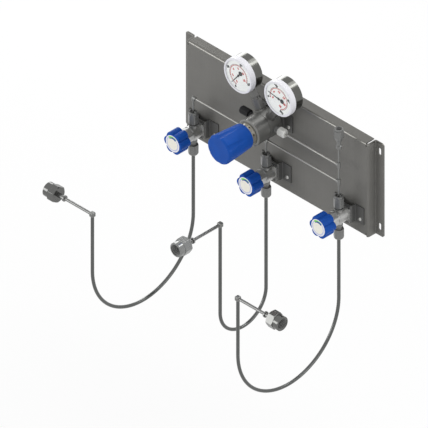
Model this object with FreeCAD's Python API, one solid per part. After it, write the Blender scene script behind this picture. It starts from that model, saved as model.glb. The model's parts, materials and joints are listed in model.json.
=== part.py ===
import FreeCAD, Part
import math
import os
from FreeCAD import Vector

# Wall panel with three cylinder valves, their bent inlet tubes, a thin manifold and a pressure regulator.
# Millimetres. Origin on the wall at the middle of the panel: X along the panel, Y into the wall, Z up.

# Wall panel, a folded sheet
panel_width = 457.0
panel_flange = 18.5
panel_height = 186.0
panel_depth = 20.0
panel_sheet = 2.0
panel_bend = 1.5
panel_corner = 4.5
relief_width = 2.0
relief_depth = 4.0
slot_width = 5.7
slot_length = 14.0
slot_spacing = 150.0

# Where the valves and the regulator stand
valve_pitch = 168.0
valve_height = 35.5
port_reach = 25.4
regulator_height = 137.0
header_height = 103.9

# Hat brackets and their screws
bracket_depth = 12.6
bracket_height = 33.0
bracket_lift = 2.5
bracket_sheet = 2.0
bracket_bend = 1.0
bracket_flange = 19.0
valve_bracket_width = 29.2
regulator_bracket_width = 36.0
screw_radius = 2.0
screw_head_radius = 3.5
screw_head_height = 2.2
screw_inset = 8.5
screw_drop = 5.6
screw_nut_flats = 7.0
screw_nut_height = 3.2

# Valves, along their own axis from the port axis forwards
valve_radius = 13.0
valve_front = 7.2
valve_flange_rim = 1.0
valve_flange_sheet = 3.0
valve_flange_corner = 4.0
chamber_radius = 7.6
chamber_depth = 3.0
seat_boss_radius = 4.5
seat_height = 1.5
diaphragm_sheet = 0.3
bonnet_length = 17.0
bonnet_flats = 24.0
plunger_flats = 10.0
plunger_length = 5.4
plunger_stroke = 0.75
spindle_radius = 3.0
spindle_thread_radius = 2.5
boss_radius = 7.0
boss_rise = 0.2
port_thread_radius = 5.5
port_thread_depth = 5.2

# Handwheels
wheel_gap = 0.5
wheel_length = 23.0
wheel_lobes = 6
wheel_radius = 20.4
wheel_lobe_radius = 7.0
wheel_valley = 15.9
wheel_chamfer = 1.4
disc_radius = 15.5
disc_sheet = 1.4
disc_proud = 0.2

# Tube and its fittings
tube_radius = 1.6
tube_bore = 0.9
fitting_radius = 2.8
fitting_arm = 5.5
fitting_stop = 1.6
nut_flats = 16.0
nut_radius = 8.8
nut_rim_radius = 7.4
outlet_low = 171.0
outlet_high = 210.5

# Bent inlet tubes to the gas cylinders, left to right
pigtail_radius = 3.0
pigtail_low = -338.7
pigtail_end = -106.1
pigtail_loops = (233.0, 106.0, 233.0)
pigtail_directions = (Vector(-1, 0, 0), Vector(0, -1, 0), Vector(1, 0, 0))
pigtail_bore = 1.5
elbow_size = 8.6
elbow_corner = 2.0
elbow_socket = 1.2
stub_radius = 2.7
stub_length = 64.0
cylinder_nut_start = 77.5
cylinder_nut_flats = 27.0
cylinder_nut_radius = 15.5
cylinder_nut_hex = 15.0
cylinder_nut_length = 25.5
cylinder_nut_barrel = 13.0
cylinder_nut_turns = (30.0, 30.0, 0.0)
cylinder_thread_radius = 10.05
cylinder_thread_length = 14.5
nipple_radius = 4.0
nipple_shoulder_radius = 8.2

# Regulator, along its own axis from the port axis forwards
regulator_radius = 24.3
regulator_front = 13.0
regulator_chamber = 17.0
regulator_bonnet_length = 28.2
regulator_bonnet_chamfer = 2.4
spring_chamber_radius = 14.0
rib_depth = 1.2
rib_half = 1.2
spring_wire = 2.2
spring_turns = 4.5
screw_pitch = 1.5
adjuster_radius = 4.0
adjuster_turns = 4.0
poppet_pocket_radius = 4.2
poppet_seat_high = 6.5
poppet_seat_sheet = 2.2
side_port_radius = 6.0
side_port_depth = 18.0
port_neck_length = 6.4
port_nut_flats = 14.0
port_nut_radius = 7.8
port_nut_length = 15.0
port_nut_end = 5.0
port_thread_run = 1.0
gauge_boss_radius = 9.0
relief_valve_radius = 7.2
relief_valve_length = 19.0
ring_radius = 19.5
ring_length = 8.9
ring_holes = 8
ring_hole_radius = 2.0
knob_length = 59.0
knob_back_radius = 22.4
knob_front_radius = 26.5
knob_round = 4.0
knob_wall = 3.6
knob_flutes = 6
flute_radius = 16.0
flute_front_depth = 2.0
flute_back_rise = 0.6

# Gauges
gauge_reach = 92.8
gauge_lean = 30.0
gauge_radius = 30.75
gauge_wall = 1.2
gauge_back = 8.9
bezel_wall = 1.45
bezel_back = 8.5
bezel_front = 19.5
bezel_lip = 2.35
lens_recess = 0.3
lens_sheet = 0.8
dial_sheet = 0.6
pointer_length = 25.0
pointer_tail = 8.0
pointer_weight_radius = 3.0
pointer_sheet = 0.4
pointer_arbor = 1.0
pointer_angles = (232.0, 171.0)
stem_radius = 6.5
stem_flats = 11.5
stem_thread_radius = 5.0
bourdon_radius = 20.0
bourdon_width = 4.8
bourdon_sheet = 2.0
bourdon_sweep = 250.0

# Fits
gap = 0.3
running = 0.05

# Places that follow from the sizes above
up = Vector(0, 0, 1)
down = Vector(0, 0, -1)
right = Vector(1, 0, 0)
left = Vector(-1, 0, 0)
forward = Vector(0, -1, 0)
port_y = -(panel_depth + port_reach)
valve_z = valve_height - panel_height / 2
regulator_z = regulator_height - panel_height / 2
header_z = header_height - panel_height / 2
valve_xs = [-valve_pitch, 0.0, valve_pitch]
panel_box_width = panel_width - 2 * panel_flange
valve_flange = 2 * (valve_radius + valve_flange_rim)
boss_height = valve_radius + boss_rise
bezel_radius = gauge_radius + bezel_wall
bezel_opening = gauge_radius - bezel_lip
bracket_face = port_reach - bracket_depth
regulator_centre = Vector(0, port_y, regulator_z)


def outline(points):
    # A closed outline of (radius, height) corners; a pair of them is an arc through the first to the second.
    edges = []
    here = Vector(points[0][0], 0, points[0][1])
    for entry in points[1:] + points[:1]:
        if isinstance(entry[0], tuple):
            middle, end = (Vector(r, 0, h) for r, h in entry)
            edges.append(Part.Arc(here, middle, end).toShape())
        else:
            end = Vector(entry[0], 0, entry[1])
            edges.append(Part.LineSegment(here, end).toShape())
        here = end
    return Part.Face(Part.Wire(edges))


def turned(points):
    # A turned piece about its own Z axis.
    return outline(points).revolve(Vector(0, 0, 0), up, 360)


def bar(radius, low, high, inner=0.0):
    return turned([(inner, low), (radius, low), (radius, high), (inner, high)])


def prism(flats, low, high, sides=6):
    corner = flats / 2 / math.cos(math.pi / sides)
    angles = [math.pi * (2 * i + 1) / sides for i in range(sides + 1)]
    corners = [Vector(corner * math.cos(a), corner * math.sin(a), low) for a in angles]
    return Part.Face(Part.makePolygon(corners)).extrude(Vector(0, 0, high - low))


def milled(piece, flats, low, high, sides=6):
    # The piece with flats cut on it between two heights.
    blank = bar(4 * flats, low, high)
    return piece.cut(blank.cut(prism(flats, low, high, sides)))


def placed(piece, origin, axis):
    # The piece with its own Z axis turned to the axis and its zero moved to the origin.
    moved = piece.copy()
    moved.Placement = FreeCAD.Placement(origin, FreeCAD.Rotation(up, axis)).multiply(piece.Placement)
    return moved


def box(low, high):
    size = high - low
    return Part.makeBox(size.x, size.y, size.z, low)


def save(name, pieces):
    solids = [solid for piece in pieces for solid in piece.Solids]
    shape = solids[0] if len(solids) == 1 else Part.makeCompound(solids)
    shape.exportStep(os.path.join("parts", name + ".step"))


def strip(points, sheet, bend):
    # The cross-section of a bent sheet; the points are the corners of its middle line, in the XY plane.
    radius = bend + sheet / 2
    edges, firsts, lasts = [], [], []
    for side in (sheet / 2, -sheet / 2):
        here = None
        for before, corner, after in zip(points, points[1:], points[2:]):
            ahead = (corner - before).normalize()
            onward = (after - corner).normalize()
            turn = math.copysign(1, ahead.cross(onward).z)
            tangent = radius * math.tan(ahead.getAngle(onward) / 2)
            start_side = up.cross(ahead) * side
            end_side = up.cross(onward) * side
            start = corner - ahead * tangent
            centre = start + up.cross(ahead) * radius * turn
            outward = (corner - centre).normalize()
            middle = centre + outward * (radius - turn * side)
            if here is None:
                here = before + start_side
                firsts.append(here)
            edges.append(Part.LineSegment(here, start + start_side).toShape())
            here = corner + onward * tangent + end_side
            edges.append(Part.Arc(start + start_side, middle, here).toShape())
        end = points[-1] + end_side
        edges.append(Part.LineSegment(here, end).toShape())
        lasts.append(end)
    edges.append(Part.LineSegment(*firsts).toShape())
    edges.append(Part.LineSegment(*lasts).toShape())
    return Part.Face(Part.Wire(Part.__sortEdges__(edges)))


def hat(span, width, depth, sheet, bend, low, high):
    # A hat section along Z: flanges on the plane Y = 0, the raised middle in front of it.
    side = width / 2 - sheet / 2
    near = -sheet / 2
    far = sheet / 2 - depth
    corners = [(-span / 2, near), (-side, near), (-side, far), (side, far), (side, near), (span / 2, near)]
    face = strip([Vector(x, y, low) for x, y in corners], sheet, bend)
    return face.extrude(Vector(0, 0, high - low))


def screw_places():
    # (X, Z) of each bracket's two screws.
    places = []
    stands = [(x, valve_z, valve_bracket_width) for x in valve_xs]
    stands.append((0.0, regulator_z, regulator_bracket_width))
    for x, z, width in stands:
        reach = width / 2 + bracket_flange - screw_inset
        places += [(x - reach, z - screw_drop), (x + reach, z - screw_drop)]
    return places


def back_panel():
    half = panel_height / 2
    panel = hat(panel_width, panel_box_width, panel_depth, panel_sheet, panel_bend, -half, half)
    fold = panel_sheet + panel_bend
    inside = panel_box_width / 2 - fold
    edge_z = half - fold - panel_sheet / 2
    for side in (1, -1):
        # The front's edge makes way for a flange folded back to the wall, with a relief at each corner.
        edge = box(
            Vector(-inside, -panel_depth - 1, edge_z),
            Vector(inside, -panel_depth + fold, half + 1),
        )
        relief = box(
            Vector(inside - relief_width, -panel_depth - 1, half - fold - relief_depth),
            Vector(inside, 1, half + 1),
        )
        corners = [
            Vector(panel_sheet / 2 - panel_depth, edge_z, 0),
            Vector(panel_sheet / 2 - panel_depth, half - panel_sheet / 2, 0),
            Vector(0, half - panel_sheet / 2, 0),
        ]
        flange = strip(corners, panel_sheet, panel_bend)
        flange.rotate(Vector(0, 0, 0), Vector(1, 1, 1), 120)
        flange.translate(Vector(relief_width - inside, 0, 0))
        flange = flange.extrude(Vector(2 * (inside - relief_width), 0, 0))
        mirrored = relief.mirror(Vector(0, 0, 0), right)
        if side < 0:
            edge, relief, mirrored, flange = (
                piece.mirror(Vector(0, 0, 0), up) for piece in (edge, relief, mirrored, flange)
            )
        panel = panel.cut(edge).fuse(flange).cut(relief).cut(mirrored)
    panel = panel.removeSplitter()
    corners = [
        edge
        for edge in panel.Edges
        if abs(abs(edge.CenterOfMass.x) - panel_width / 2) < 0.01
        and abs(abs(edge.CenterOfMass.z) - half) < 0.01
        and abs(edge.Length - panel_sheet) < 0.01
    ]
    panel = panel.makeFillet(panel_corner, corners)
    slot_x = (panel_width - panel_flange) / 2
    for x in (-slot_x, slot_x):
        for z in (-slot_spacing / 2, slot_spacing / 2):
            straight = (slot_length - slot_width) / 2
            middle = box(
                Vector(x - slot_width / 2, -panel_sheet - 1, z - straight),
                Vector(x + slot_width / 2, 1, z + straight),
            )
            for end in (-straight, straight):
                round_end = placed(bar(slot_width / 2, -1, panel_sheet + 1), Vector(x, 0, z + end), forward)
                middle = middle.fuse(round_end)
            panel = panel.cut(middle)
    for x, z in screw_places():
        hole = bar(screw_radius + gap / 2, -1, panel_sheet + 1)
        panel = panel.cut(placed(hole, Vector(x, panel_sheet - panel_depth, z), forward))
    return panel


def bracket(width, x, z):
    low = z + bracket_lift - bracket_height / 2
    span = width + 2 * bracket_flange
    piece = hat(span, width, bracket_depth, bracket_sheet, bracket_bend, low, low + bracket_height)
    piece.translate(Vector(x, -panel_depth, 0))
    for screw_x, screw_z in screw_places():
        if abs(screw_x - x) < span / 2 and abs(screw_z - z) < bracket_height / 2:
            hole = bar(screw_radius + gap / 2, -1, bracket_sheet + 1)
            piece = piece.cut(placed(hole, Vector(screw_x, -panel_depth, screw_z), forward))
    return piece


def bracket_fasteners():
    # Round-headed screws from the front and hexagon nuts behind the panel.
    pieces = []
    back = -bracket_sheet - panel_sheet - screw_nut_height - 1
    rise = screw_head_height
    dome = (screw_head_radius**2 + rise**2) / 2 / rise
    sweep = math.asin(screw_head_radius / dome) / 2
    screw = turned([
        (0, back),
        (screw_radius, back),
        (screw_radius, 0),
        (screw_head_radius, 0),
        ((dome * math.sin(sweep), rise - dome + dome * math.cos(sweep)), (0, rise)),
    ])
    nut_back = -bracket_sheet - panel_sheet - screw_nut_height
    nut = prism(screw_nut_flats, nut_back, nut_back + screw_nut_height)
    nut = nut.cut(bar(screw_radius + running, nut_back - 1, nut_back + screw_nut_height + 1))
    for x, z in screw_places():
        seat = Vector(x, -panel_depth - bracket_sheet, z)
        pieces += [placed(screw, seat, forward), placed(nut, seat, forward)]
    return pieces


def valve_body():
    # Square flange, round body and two port bosses: gas enters below, passes the seat and leaves on top.
    half = valve_flange / 2
    back = -bracket_face
    flange = box(Vector(-half, -half, back), Vector(half, half, back + valve_flange_sheet))
    corners = [edge for edge in flange.Edges if abs(edge.Length - valve_flange_sheet) < 0.01]
    flange = flange.makeFillet(valve_flange_corner, corners)
    floor = valve_front - chamber_depth
    boss_top = valve_front - gap - seat_height
    body = turned([
        (0, back),
        (valve_radius, back),
        (valve_radius, valve_front),
        (chamber_radius, valve_front),
        (chamber_radius, floor),
        (seat_boss_radius, floor),
        (seat_boss_radius, boss_top),
        (0, boss_top),
    ])
    body = placed(flange.fuse(body), Vector(0, 0, 0), forward)
    # The bosses stop at the body's front face, where the bonnet begins.
    for axis in (up, down):
        body = body.fuse(placed(bar(boss_radius, seat_boss_radius, boss_height), Vector(0, 0, 0), axis))
    chamber = placed(bar(chamber_radius, floor, valve_front), Vector(0, 0, 0), forward)
    boss = placed(bar(seat_boss_radius, floor - 1, boss_top), Vector(0, 0, 0), forward)
    body = body.cut(chamber.cut(boss))
    socket = bar(port_thread_radius + running, boss_height - port_thread_depth, boss_height + 1)
    for axis in (up, down):
        body = body.cut(placed(socket, Vector(0, 0, 0), axis))
    inlet = placed(bar(2.0, 0, boss_height), Vector(0, 0, 0), down)
    throat = placed(bar(1.5, -1.5, valve_front), Vector(0, 0, 0), forward)
    outlet_start = Vector(0, 0, boss_height - port_thread_depth + 1)
    outlet_way = Vector(0, -floor - 1, chamber_radius - 3) - outlet_start
    outlet = placed(bar(1.2, 0, outlet_way.Length), outlet_start, outlet_way)
    return body.cut(inlet).cut(throat).cut(outlet).removeSplitter()


def valve_seat():
    top = valve_front - gap
    return placed(bar(seat_boss_radius - 0.7, top - seat_height, top, 1.9), Vector(0, 0, 0), forward)


def valve_diaphragm():
    disc = bar(valve_radius - 1, valve_front, valve_front + diaphragm_sheet)
    return placed(disc, Vector(0, 0, 0), forward)


bonnet_base = valve_front + diaphragm_sheet
bonnet_top = bonnet_base + bonnet_length
plunger_base = bonnet_base + gap
plunger_top = plunger_base + plunger_length
guide_top = plunger_top + plunger_stroke + gap
collar_low = guide_top + gap
collar_high = collar_low + 1.9
wheel_base = bonnet_top + wheel_gap
wheel_top = wheel_base + wheel_length


def valve_bonnet():
    # Screwed cap with six flats; its hexagon bore keeps the plunger from turning.
    chamfer = 0.8
    piece = turned([
        (0, bonnet_base),
        (valve_radius, bonnet_base),
        (valve_radius, bonnet_top - chamfer),
        (valve_radius - chamfer, bonnet_top),
        (0, bonnet_top),
    ])
    piece = milled(piece, bonnet_flats, bonnet_base + 2.4, bonnet_top)
    piece = piece.cut(prism(plunger_flats + 4 * running, bonnet_base - 1, guide_top))
    piece = piece.cut(bar(spindle_radius + 1.5, guide_top - 1, collar_high + gap))
    piece = piece.cut(bar(spindle_radius + running, collar_high, bonnet_top + 1))
    pin_axis = Vector(math.cos(math.radians(48)), math.sin(math.radians(48)), 0)
    pin = placed(bar(0.9, valve_radius - 2, valve_radius + 0.7), Vector(0, 0, bonnet_base + 1.2), pin_axis)
    return placed(piece.fuse(pin), Vector(0, 0, 0), forward)


def valve_plunger():
    # Hexagon pusher between the spindle's thread and the diaphragm.
    piece = prism(plunger_flats, plunger_base, plunger_top)
    thread = bar(spindle_thread_radius + 2 * running, plunger_base + 1, plunger_top + 1)
    return placed(piece.cut(thread), Vector(0, 0, 0), forward)


def valve_spindle():
    end = plunger_base + 1 + plunger_stroke + gap
    top = wheel_top - disc_sheet - 2.3
    piece = turned([
        (0, end),
        (spindle_thread_radius, end),
        (spindle_thread_radius, collar_low),
        (spindle_radius + 1.4, collar_low),
        (spindle_radius + 1.4, collar_high),
        (spindle_radius, collar_high),
        (spindle_radius, top),
        (0, top),
    ])
    return placed(piece, Vector(0, 0, 0), forward)


def lobed_face(low):
    # Round lobes joined by hollows that are tangent to them.
    lobe_centre = wheel_radius - wheel_lobe_radius
    half_pitch = math.pi / wheel_lobes
    reach = lobe_centre * math.cos(half_pitch)
    valley_radius = (
        (lobe_centre**2 + wheel_valley**2 - 2 * wheel_valley * reach - wheel_lobe_radius**2)
        / 2
        / (wheel_lobe_radius - wheel_valley + reach)
    )
    valley_centre = wheel_valley + valley_radius

    def polar(radius, angle):
        return Vector(radius * math.cos(angle), radius * math.sin(angle), low)

    edges = []
    for i in range(wheel_lobes):
        angle = 2 * math.pi * i / wheel_lobes
        lobe = polar(lobe_centre, angle)
        before = polar(valley_centre, angle - half_pitch)
        after = polar(valley_centre, angle + half_pitch)
        following = polar(lobe_centre, angle + 2 * half_pitch)
        start = lobe + (before - lobe).normalize() * wheel_lobe_radius
        end = lobe + (after - lobe).normalize() * wheel_lobe_radius
        next_start = following + (after - following).normalize() * wheel_lobe_radius
        edges.append(Part.Arc(start, polar(wheel_radius, angle), end).toShape())
        edges.append(Part.Arc(end, polar(wheel_valley, angle + half_pitch), next_start).toShape())
    return Part.Face(Part.Wire(edges))


def handwheel():
    wheel = lobed_face(wheel_base).extrude(Vector(0, 0, wheel_length))
    # Both ends are turned to a chamfer, which leaves the hollows whole.
    tip = wheel_radius
    wheel = wheel.common(turned([
        (0, wheel_base),
        (tip - wheel_chamfer, wheel_base),
        (tip + 1, wheel_base + wheel_chamfer + 1),
        (tip + 1, wheel_top - wheel_chamfer - 1),
        (tip - wheel_chamfer, wheel_top),
        (0, wheel_top),
    ]))
    wheel = wheel.cut(bar(disc_radius - 1.5, wheel_base - 1, wheel_base + 3))
    wheel = wheel.cut(bar(spindle_radius + running, wheel_base, wheel_top - disc_sheet - 2))
    wheel = wheel.cut(bar(disc_radius + running, wheel_top + disc_proud - disc_sheet, wheel_top + 1))
    return placed(wheel, Vector(0, 0, 0), forward)


def wheel_disc():
    top = wheel_top + disc_proud
    edge = 0.3
    disc = turned([
        (0, top - disc_sheet),
        (disc_radius, top - disc_sheet),
        (disc_radius, top - edge),
        (disc_radius - edge, top),
        (0, top),
    ])
    return placed(disc, Vector(0, 0, 0), forward)


outlet_nut_low = boss_height + 6.0
outlet_nut_high = outlet_nut_low + 17.8
outlet_nut_rim = outlet_nut_high + 4.0
outlet_tube_low = outlet_nut_low + 4.0
inlet_nut_low = boss_height + 11.0
inlet_nut_high = inlet_nut_low + 20.8
inlet_tube_top = inlet_nut_low + 1.8
inlet_thread_radius = 6.0
drilling = 1.2


def outlet_connector():
    # Screwed into the top boss: collar, groove and the threaded end that the tube sits in.
    thread = port_thread_radius
    collar = boss_radius + 0.7
    end = outlet_nut_high - 7
    return turned([
        (drilling, boss_height - port_thread_depth),
        (thread, boss_height - port_thread_depth),
        (thread, boss_height),
        (collar, boss_height),
        (collar, boss_height + 3),
        (thread, boss_height + 3),
        (thread, end),
        (tube_radius + running, end),
        (tube_radius + running, outlet_tube_low),
        (drilling, outlet_tube_low),
    ])


def outlet_nut():
    # Hexagon nut with a raised rim around the tube.
    piece = turned([
        (port_thread_radius + running, outlet_nut_low),
        (nut_radius - 0.6, outlet_nut_low),
        (nut_radius, outlet_nut_low + 0.6),
        (nut_radius, outlet_nut_high - 1),
        (nut_radius - 0.9, outlet_nut_high),
        (nut_rim_radius, outlet_nut_high),
        (nut_rim_radius, outlet_nut_rim - 0.5),
        (nut_rim_radius - 0.5, outlet_nut_rim),
        (nut_rim_radius - 1.8, outlet_nut_rim),
        (nut_rim_radius - 2.2, outlet_nut_rim - 3),
        (tube_radius + running, outlet_nut_high - 1.5),
        (tube_radius + running, outlet_nut_high - 3.5),
        (port_thread_radius + running, outlet_nut_high - 6),
    ])
    return milled(piece, nut_flats, outlet_nut_low, outlet_nut_high)


def inlet_connector():
    # Screwed into the bottom boss; the bent tube's end sits in its socket.
    thread = inlet_thread_radius
    end = inlet_nut_high - 11
    return turned([
        (2.0, boss_height - port_thread_depth),
        (port_thread_radius, boss_height - port_thread_depth),
        (port_thread_radius, boss_height),
        (thread + 0.8, boss_height),
        (thread + 0.8, inlet_nut_low - 5.6),
        (thread - 0.8, inlet_nut_low - 5),
        (thread - 0.8, inlet_nut_low - 1.6),
        (thread, inlet_nut_low - 1),
        (thread, end),
        (pigtail_radius + running, end),
        (pigtail_radius + running, inlet_tube_top),
        (2.0, inlet_tube_top),
    ])


def pigtail_nut():
    # Hexagon nut with a domed lower end.
    piece = turned([
        (inlet_thread_radius + running, inlet_nut_low),
        (nut_radius - 0.6, inlet_nut_low),
        (nut_radius, inlet_nut_low + 0.6),
        (nut_radius, inlet_nut_high - 6.5),
        ((7.5, inlet_nut_high - 2.2), (4.4, inlet_nut_high)),
        (pigtail_radius + running, inlet_nut_high),
        (pigtail_radius + running, inlet_nut_high - 7),
        (inlet_thread_radius + running, inlet_nut_high - 10),
    ])
    return milled(piece, nut_flats, inlet_nut_low, inlet_nut_high)


def weld_fitting(centre, axes):
    # A small socket elbow or tee: one arm for each axis, a sphere in the middle and a stop for each tube.
    piece = Part.makeSphere(fitting_radius, centre)
    for axis in axes:
        piece = piece.fuse(placed(bar(fitting_radius, 0, fitting_arm), centre, axis))
    for axis in axes:
        piece = piece.cut(placed(bar(tube_bore, 0, fitting_arm), centre, axis))
        piece = piece.cut(placed(bar(tube_radius + running, fitting_stop, fitting_arm + 1), centre, axis))
    return piece.removeSplitter()


def tube(start, end):
    span = end - start
    return placed(bar(tube_radius, 0, span.Length, tube_bore), start, span)


def manifold():
    # Header along the three valves, the line to the regulator, and the risers.
    reach = fitting_stop + gap / 3
    riser_foot = valve_z + outlet_tube_low + gap / 3
    knee = Vector(valve_xs[0], port_y, header_z)
    middle_tee = Vector(valve_xs[1], port_y, header_z)
    end_tee = Vector(valve_xs[2], port_y, header_z)
    upper_tee = Vector(valve_xs[2], port_y, regulator_z)
    fittings = [
        weld_fitting(knee, (right, down)),
        weld_fitting(middle_tee, (left, right, down)),
        weld_fitting(end_tee, (left, up, down)),
        weld_fitting(upper_tee, (left, up, down)),
    ]
    across = [
        tube(knee + right * reach, middle_tee + left * reach),
        tube(middle_tee + right * reach, end_tee + left * reach),
        tube(Vector(port_tube_end, port_y, regulator_z), upper_tee + left * reach),
    ]
    risers = [tube(Vector(x, port_y, riser_foot), Vector(x, port_y, header_z - reach)) for x in valve_xs]
    risers.append(tube(end_tee + up * reach, upper_tee + down * reach))
    top = Vector(valve_xs[2], port_y, outlet_base + outlet_tube_depth - gap / 3)
    risers.append(tube(upper_tee + up * reach, top))
    return fittings, across, risers


outlet_base = outlet_low - panel_height / 2
outlet_rim = outlet_high - panel_height / 2
outlet_neck = 3.4
outlet_head = 18.0
outlet_head_length = 7.0
outlet_tube_depth = 12.2
outlet_thread_radius = 5.7
outlet_thread_depth = 10.5


def panel_outlet_connector():
    # The manifold's outlet: a collar on the tube, a thin neck, and a head that holds the loose nut.
    low = outlet_base
    head = low + outlet_head
    return turned([
        (tube_radius + running, low),
        (4.6, low),
        (5.0, low + 0.5),
        (5.0, low + 5),
        (outlet_neck, low + 6),
        (outlet_neck, head),
        (port_thread_radius, head),
        (port_thread_radius, head + outlet_head_length),
        (drilling, head + outlet_head_length),
        (drilling, low + outlet_tube_depth),
        (tube_radius + running, low + outlet_tube_depth),
    ])


def panel_outlet_nut():
    # Tapers in below to the neck and opens upwards to a threaded socket.
    low = outlet_base + outlet_head - 4.5
    rim = outlet_rim
    shoulder = rim - 3.5
    floor = rim - outlet_thread_depth
    head = outlet_base + outlet_head
    piece = turned([
        (outlet_neck + running, low),
        (outlet_neck + 0.8, low),
        (nut_radius, low + 10.5),
        (nut_radius, shoulder - 0.9),
        (nut_radius - 0.9, shoulder),
        (nut_rim_radius, shoulder),
        (nut_rim_radius, rim - 0.5),
        (nut_rim_radius - 0.5, rim),
        (outlet_thread_radius, rim),
        (outlet_thread_radius, floor),
        (2.0, floor),
        (2.0, floor - 2),
        (port_thread_radius + running, head + outlet_head_length + gap),
        (port_thread_radius + running, head - gap),
        (outlet_neck + running, head - gap),
    ])
    return milled(piece, nut_flats, low, shoulder)


def pigtail(x, loop):
    # The tube from a valve's inlet: straight leg, half circle and straight leg, all in one plane.
    radius = loop / 2
    bend_z = pigtail_low + pigtail_radius + radius
    top = Vector(x, port_y, valve_z - inlet_tube_top - gap / 3)
    far = Vector(x, port_y - loop, pigtail_end - elbow_size / 2 + elbow_socket - gap / 3)
    near_leg = placed(bar(pigtail_radius, 0, top.z - bend_z), top, down)
    far_leg = placed(bar(pigtail_radius, 0, far.z - bend_z), Vector(x, port_y - loop, bend_z), up)
    ring = Part.Face(Part.Wire(Part.makeCircle(pigtail_radius, Vector(x, port_y, bend_z), up)))
    bend = ring.revolve(Vector(x, port_y - radius, bend_z), left, 180)
    return near_leg.fuse([bend, far_leg]).removeSplitter()


def pigtail_elbow(x, loop, axis):
    centre = Vector(x, port_y - loop, pigtail_end)
    half = elbow_size / 2
    block = box(centre - Vector(half, half, half), centre + Vector(half, half, half))
    block = block.makeFillet(elbow_corner, block.Edges)
    for direction, radius in ((down, pigtail_radius), (axis, stub_radius)):
        block = block.cut(placed(bar(radius + running, half - elbow_socket, half + 1), centre, direction))
        block = block.cut(placed(bar(pigtail_bore, 0, half), centre, direction))
    return block


cylinder_nut_end = cylinder_nut_start + cylinder_nut_length
nipple_shoulder = cylinder_nut_start + 4 + gap


def cylinder_nipple():
    # Thin stub, collar, shank for the nut to turn on, and the nose that seals in the cylinder's valve.
    start = elbow_size / 2 - elbow_socket + gap / 3
    nose = cylinder_nut_end - cylinder_thread_length - 0.5
    return turned([
        (pigtail_bore, start),
        (stub_radius, start),
        (stub_radius, stub_length - 2),
        (nipple_radius + 1.5, stub_length - 1.2),
        (nipple_radius + 1.5, stub_length + 1.6),
        (nipple_radius, stub_length + 2.2),
        (nipple_radius, nipple_shoulder),
        (nipple_shoulder_radius, nipple_shoulder),
        (nipple_shoulder_radius, nipple_shoulder + 2.5),
        (5.0, nipple_shoulder + 3.5),
        (4.4, nose - 1),
        ((3.9, nose - 0.3), (3.2, nose)),
        (pigtail_bore, nose),
    ])


def cylinder_nut():
    # Hexagon part, then a round barrel with the thread for the cylinder's valve, open in front.
    back = cylinder_nut_start
    hex_end = back + cylinder_nut_hex
    front = cylinder_nut_end
    chamfer = 1.4
    corner = cylinder_nut_radius - 1.5 * chamfer
    piece = turned([
        (nipple_radius + running, back),
        (corner, back),
        (cylinder_nut_radius, back + chamfer),
        (cylinder_nut_radius, hex_end - chamfer),
        (corner, hex_end),
        (cylinder_nut_barrel, hex_end),
        (cylinder_nut_barrel, front - 0.8),
        (cylinder_nut_barrel - 0.8, front),
        (cylinder_thread_radius, front),
        (cylinder_thread_radius, front - cylinder_thread_length),
        (cylinder_thread_radius + 0.6, front - cylinder_thread_length),
        (cylinder_thread_radius + 0.6, nipple_shoulder - gap),
        (nipple_radius + running, nipple_shoulder - gap),
    ])
    return milled(piece, cylinder_nut_flats, back, hex_end)


gauge_axes = [
    Vector(side * math.sin(math.radians(gauge_lean)), 0, math.cos(math.radians(gauge_lean)))
    for side in (-1, 1)
]
regulator_back = -bracket_face
bonnet_low = regulator_front + 0.5
bonnet_high = bonnet_low + regulator_bonnet_length
spring_low = bonnet_low + 2.8
button_low = bonnet_high - 11.4
button_travel = screw_pitch * adjuster_turns
button_high = button_low + 3.7
adjuster_collar = button_high + 0.6
spring_ceiling = adjuster_collar + 2.1 + gap
ring_high = bonnet_high + ring_length
knob_back = ring_high + gap
knob_front = knob_back + knob_length
port_neck = regulator_radius + gap
port_nut_low = port_neck + port_neck_length
port_nut_high = port_nut_low + port_nut_length
port_tube_end = port_nut_low + 6.0
adaptor_low = port_neck + 1.7
adaptor_high = adaptor_low + 20.7


def regulator_body():
    body = turned([
        (0, regulator_back),
        (regulator_radius - 1, regulator_back),
        (regulator_radius, regulator_back + 1),
        (regulator_radius, regulator_front),
        (regulator_chamber, regulator_front),
        (regulator_chamber, regulator_front - 4),
        (0, regulator_front - 4),
    ])
    body = placed(body, Vector(0, 0, 0), forward)
    depth = adaptor_low - gap
    for axis in gauge_axes:
        body = body.fuse(placed(bar(gauge_boss_radius, side_port_depth, depth), Vector(0, 0, 0), axis))
    # Sockets for the four port fittings, drilled through to the middle.
    socket = bar(side_port_radius + running, side_port_depth, depth + 1)
    hole = bar(drilling, 3, side_port_depth + 1)
    for axis in gauge_axes + [left, right]:
        body = body.cut(placed(socket, Vector(0, 0, 0), axis))
        body = body.cut(placed(hole, Vector(0, 0, 0), axis))
    pocket = turned([
        (0, -6),
        (poppet_pocket_radius, -6),
        (poppet_pocket_radius, poppet_seat_high),
        (2.6, poppet_seat_high),
        (2.6, regulator_front),
        (0, regulator_front),
    ])
    return body.cut(placed(pocket, Vector(0, 0, 0), forward)).removeSplitter()


def regulator_seat():
    low = poppet_seat_high - poppet_seat_sheet
    return placed(bar(poppet_pocket_radius - running, low, poppet_seat_high, 1.6), Vector(0, 0, 0), forward)


def regulator_poppet():
    # Cone below the seat with a stem that reaches up to the diaphragm.
    rest = poppet_seat_high - poppet_seat_sheet - gap
    piece = turned([
        (0, -3.5),
        (2.8, -3.5),
        (2.8, rest - 2.4),
        (1.4, rest),
        (1.1, rest),
        (1.1, regulator_front - gap),
        (0, regulator_front - gap),
    ])
    return placed(piece, Vector(0, 0, 0), forward)


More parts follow.
